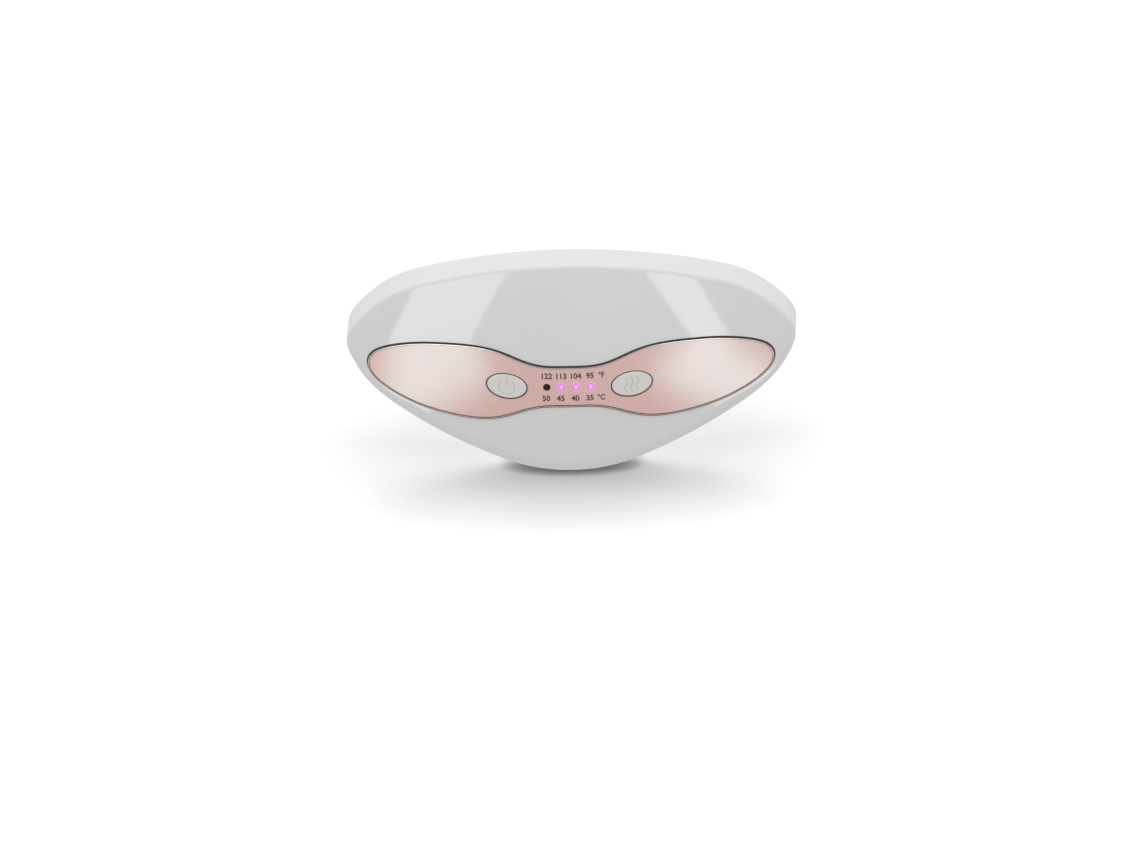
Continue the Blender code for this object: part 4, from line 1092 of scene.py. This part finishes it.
def dress_cad_nodes():
    """Give the finish of its material slot to every CAD node that still shows."""
    finishes = {"white_matte": white_matte, "board_green": board_green, "steel": steel,
                "black_plastic": black_plastic, "brass": brass, "led": led_white,
                "battery_wrap": battery_wrap, "heater_film": heater_film,
                "cable_jacket": cable_black}
    for subpart in frame["record"]["subparts"]:
        node, slot = subpart["node"], subpart["material_slot"]
        if slot in finishes:
            finish = cable_red if node == "battery_cable" else finishes[slot]
            dress(bpy.data.objects[node], finish)


make_housing_front()
make_trim()
make_panel()
for kind, sign in (("power", -1), ("heat", 1)):
    make_bezel(kind, sign)
make_power_icon(make_button("power", -1))
make_heat_icon(make_button("heat", 1))
for number, x in enumerate(LED_XS, 1):
    make_lens(number, x)
make_scale()
make_port_tongue()
make_cushion()
for side, _ in SIDES:
    make_eye_pad(side)
dress_cad_nodes()

# ---- floor, light and camera --------------------------------------------------------------

ELEVATION, YAW, ROLL = math.radians(20), math.radians(1.86), math.radians(1.75)
CAMERA_DISTANCE = 12.0
FRAME_WIDTH = 0.49565  # metres across the picture at the front of the object
AIM_RIGHT, AIM_UP = 0.35 * MM, -17.7 * MM  # the picture's middle, from the panel's middle
SENSOR = 36.0
CARD_X = 0.5  # the softbox faces stand this far to the left and to the right


def make_floor(level):
    """A white acrylic sheet, polished where the mask stands and matt further out, with a
    painted contact shadow under the mask.
    """
    size = 6.0
    polished, matt = 12 * MM, 95 * MM
    middle = (0, -28 * MM, 0)
    mesh = bmesh.new()
    bmesh.ops.create_grid(mesh, x_segments=1, y_segments=1, size=size)
    floor = to_object("floor", mesh)
    floor.location.z = level
    finish = Finish("floor", 0.28, Specular_IOR_Level=0.0)
    where = finish.place((0.7, 1, 0))
    reach = finish.node("ShaderNodeVectorMath", {"operation": "DISTANCE"}, i0=where,
                        i1=middle).outputs["Value"]
    finish.link(finish.span(reach, 0.93, 0.0, polished, matt), "Metallic")
    cloud = finish.noise(0.3)
    white = finish.mix(finish.span(cloud, 0, 1), (0.93, 0.93, 0.93), (0.95, 0.95, 0.95))
    # Painted contact shadow: the floor's colour darkens where the mask stands close above it.
    painted_contact_shadow = finish.node("ShaderNodeAmbientOcclusion", Distance=6 * MM).outputs["AO"]
    finish.link(finish.mix(finish.span(painted_contact_shadow, 0, 1, 0.1, 0.8), (0.22, 0.22, 0.22), white),
                "Base Color")
    dress(floor, finish)
    floor.visible_glossy = False
    floor.visible_diffuse = False
    floor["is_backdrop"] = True


def make_card(name, corners, strength):
    """A softbox face that is seen only in reflections. Its corners are in pairs, going up."""
    mesh = bmesh.new()
    verts = [mesh.verts.new(corner) for corner in corners]
    for i in range(0, len(verts) - 2, 2):
        mesh.faces.new((verts[i], verts[i + 1], verts[i + 3], verts[i + 2]))
    card = to_object(name, mesh)
    material = bpy.data.materials.new(name)
    material.use_nodes = True
    shader = material.node_tree.nodes["Principled BSDF"]
    shader.inputs["Base Color"].default_value = (0, 0, 0, 1)
    shader.inputs["Emission Color"].default_value = (1, 1, 1, 1)
    shader.inputs["Emission Strength"].default_value = strength
    card.data.materials.append(material)
    card.visible_camera = False
    card.visible_diffuse = False
    card.visible_shadow = False
    card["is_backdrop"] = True


def make_area_light(name, location, target, size, energy):
    light = bpy.data.lights.new(name, "AREA")
    light.shape = "RECTANGLE"
    light.size, light.size_y = size
    light.energy = energy
    lamp = add_object(name, light)
    lamp.location = location
    lamp.rotation_mode = "QUATERNION"
    aim = Vector(target) - Vector(location)
    lamp.rotation_quaternion = aim.to_track_quat("-Z", "Y")
    lamp.visible_camera = False


def make_world(below, above, behind):
    """Even light all round, a little brighter from above and dimmer from behind."""
    world = bpy.data.worlds.new("studio")
    world.use_nodes = True
    tree = world.node_tree
    split = tree.nodes.new("ShaderNodeSeparateXYZ")
    tree.links.new(tree.nodes.new("ShaderNodeTexCoord").outputs["Generated"], split.inputs[0])
    strength = tree.nodes.new("ShaderNodeMath")
    strength.operation = "MULTIPLY"
    for index, (axis, settings) in enumerate((("Z", (-0.35, 0.35, below, above)),
                                              ("Y", (-0.1, 0.5, 1.0, behind)))):
        share = tree.nodes.new("ShaderNodeMapRange")
        tree.links.new(split.outputs[axis], share.inputs[0])
        for number, value in enumerate(settings, 1):
            share.inputs[number].default_value = value
        tree.links.new(share.outputs[0], strength.inputs[index])
    tree.links.new(strength.outputs[0], tree.nodes["Background"].inputs["Strength"])
    tree.nodes["Background"].inputs["Color"].default_value = (1, 1, 1, 1)
    bpy.context.scene.world = world


def make_camera():
    right = Vector((math.cos(YAW), math.sin(YAW), 0))
    forward = Vector((-math.sin(YAW) * math.cos(ELEVATION),
                      math.cos(YAW) * math.cos(ELEVATION), -math.sin(ELEVATION)))
    up = right.cross(forward)
    side = right * math.cos(ROLL) - up * math.sin(ROLL)
    top = right * math.sin(ROLL) + up * math.cos(ROLL)
    aim = Vector((0, FRONT_Y, 0)) + side * AIM_RIGHT + top * AIM_UP
    data = bpy.data.cameras.new("camera")
    data.sensor_width = SENSOR
    data.lens = SENSOR * CAMERA_DISTANCE / FRAME_WIDTH
    data.clip_start, data.clip_end = 0.1, 50
    camera = add_object("camera", data)
    axes = Matrix((side, top, -forward)).transposed().to_4x4()
    camera.matrix_world = Matrix.Translation(aim - forward * CAMERA_DISTANCE) @ axes
    bpy.context.scene.camera = camera


make_floor(level=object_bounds()[0].z - 0.2 * MM)
make_card("softbox_left", [(-CARD_X, y, z) for y, z in (
    (-0.720, -0.26), (-0.060, -0.26), (-0.495, -0.102), (-0.130, -0.110),
    (-1.230, 0.35), (-0.540, 0.35))], strength=3.2)
make_card("softbox_right", [(CARD_X, y, z) for y, z in (
    (-0.800, -0.27), (0.080, -0.27), (-0.380, -0.114), (-0.222, -0.116),
    (-1.130, 0.35), (-0.690, 0.35))], strength=3.5)
make_area_light("overhead", (0, 0.2, 1.8), (0, 0, 0), size=(1.2, 1.2), energy=3)
make_world(below=0.78, above=1.14, behind=0.93)
bpy.context.scene.view_settings.view_transform = "Standard"
make_camera()
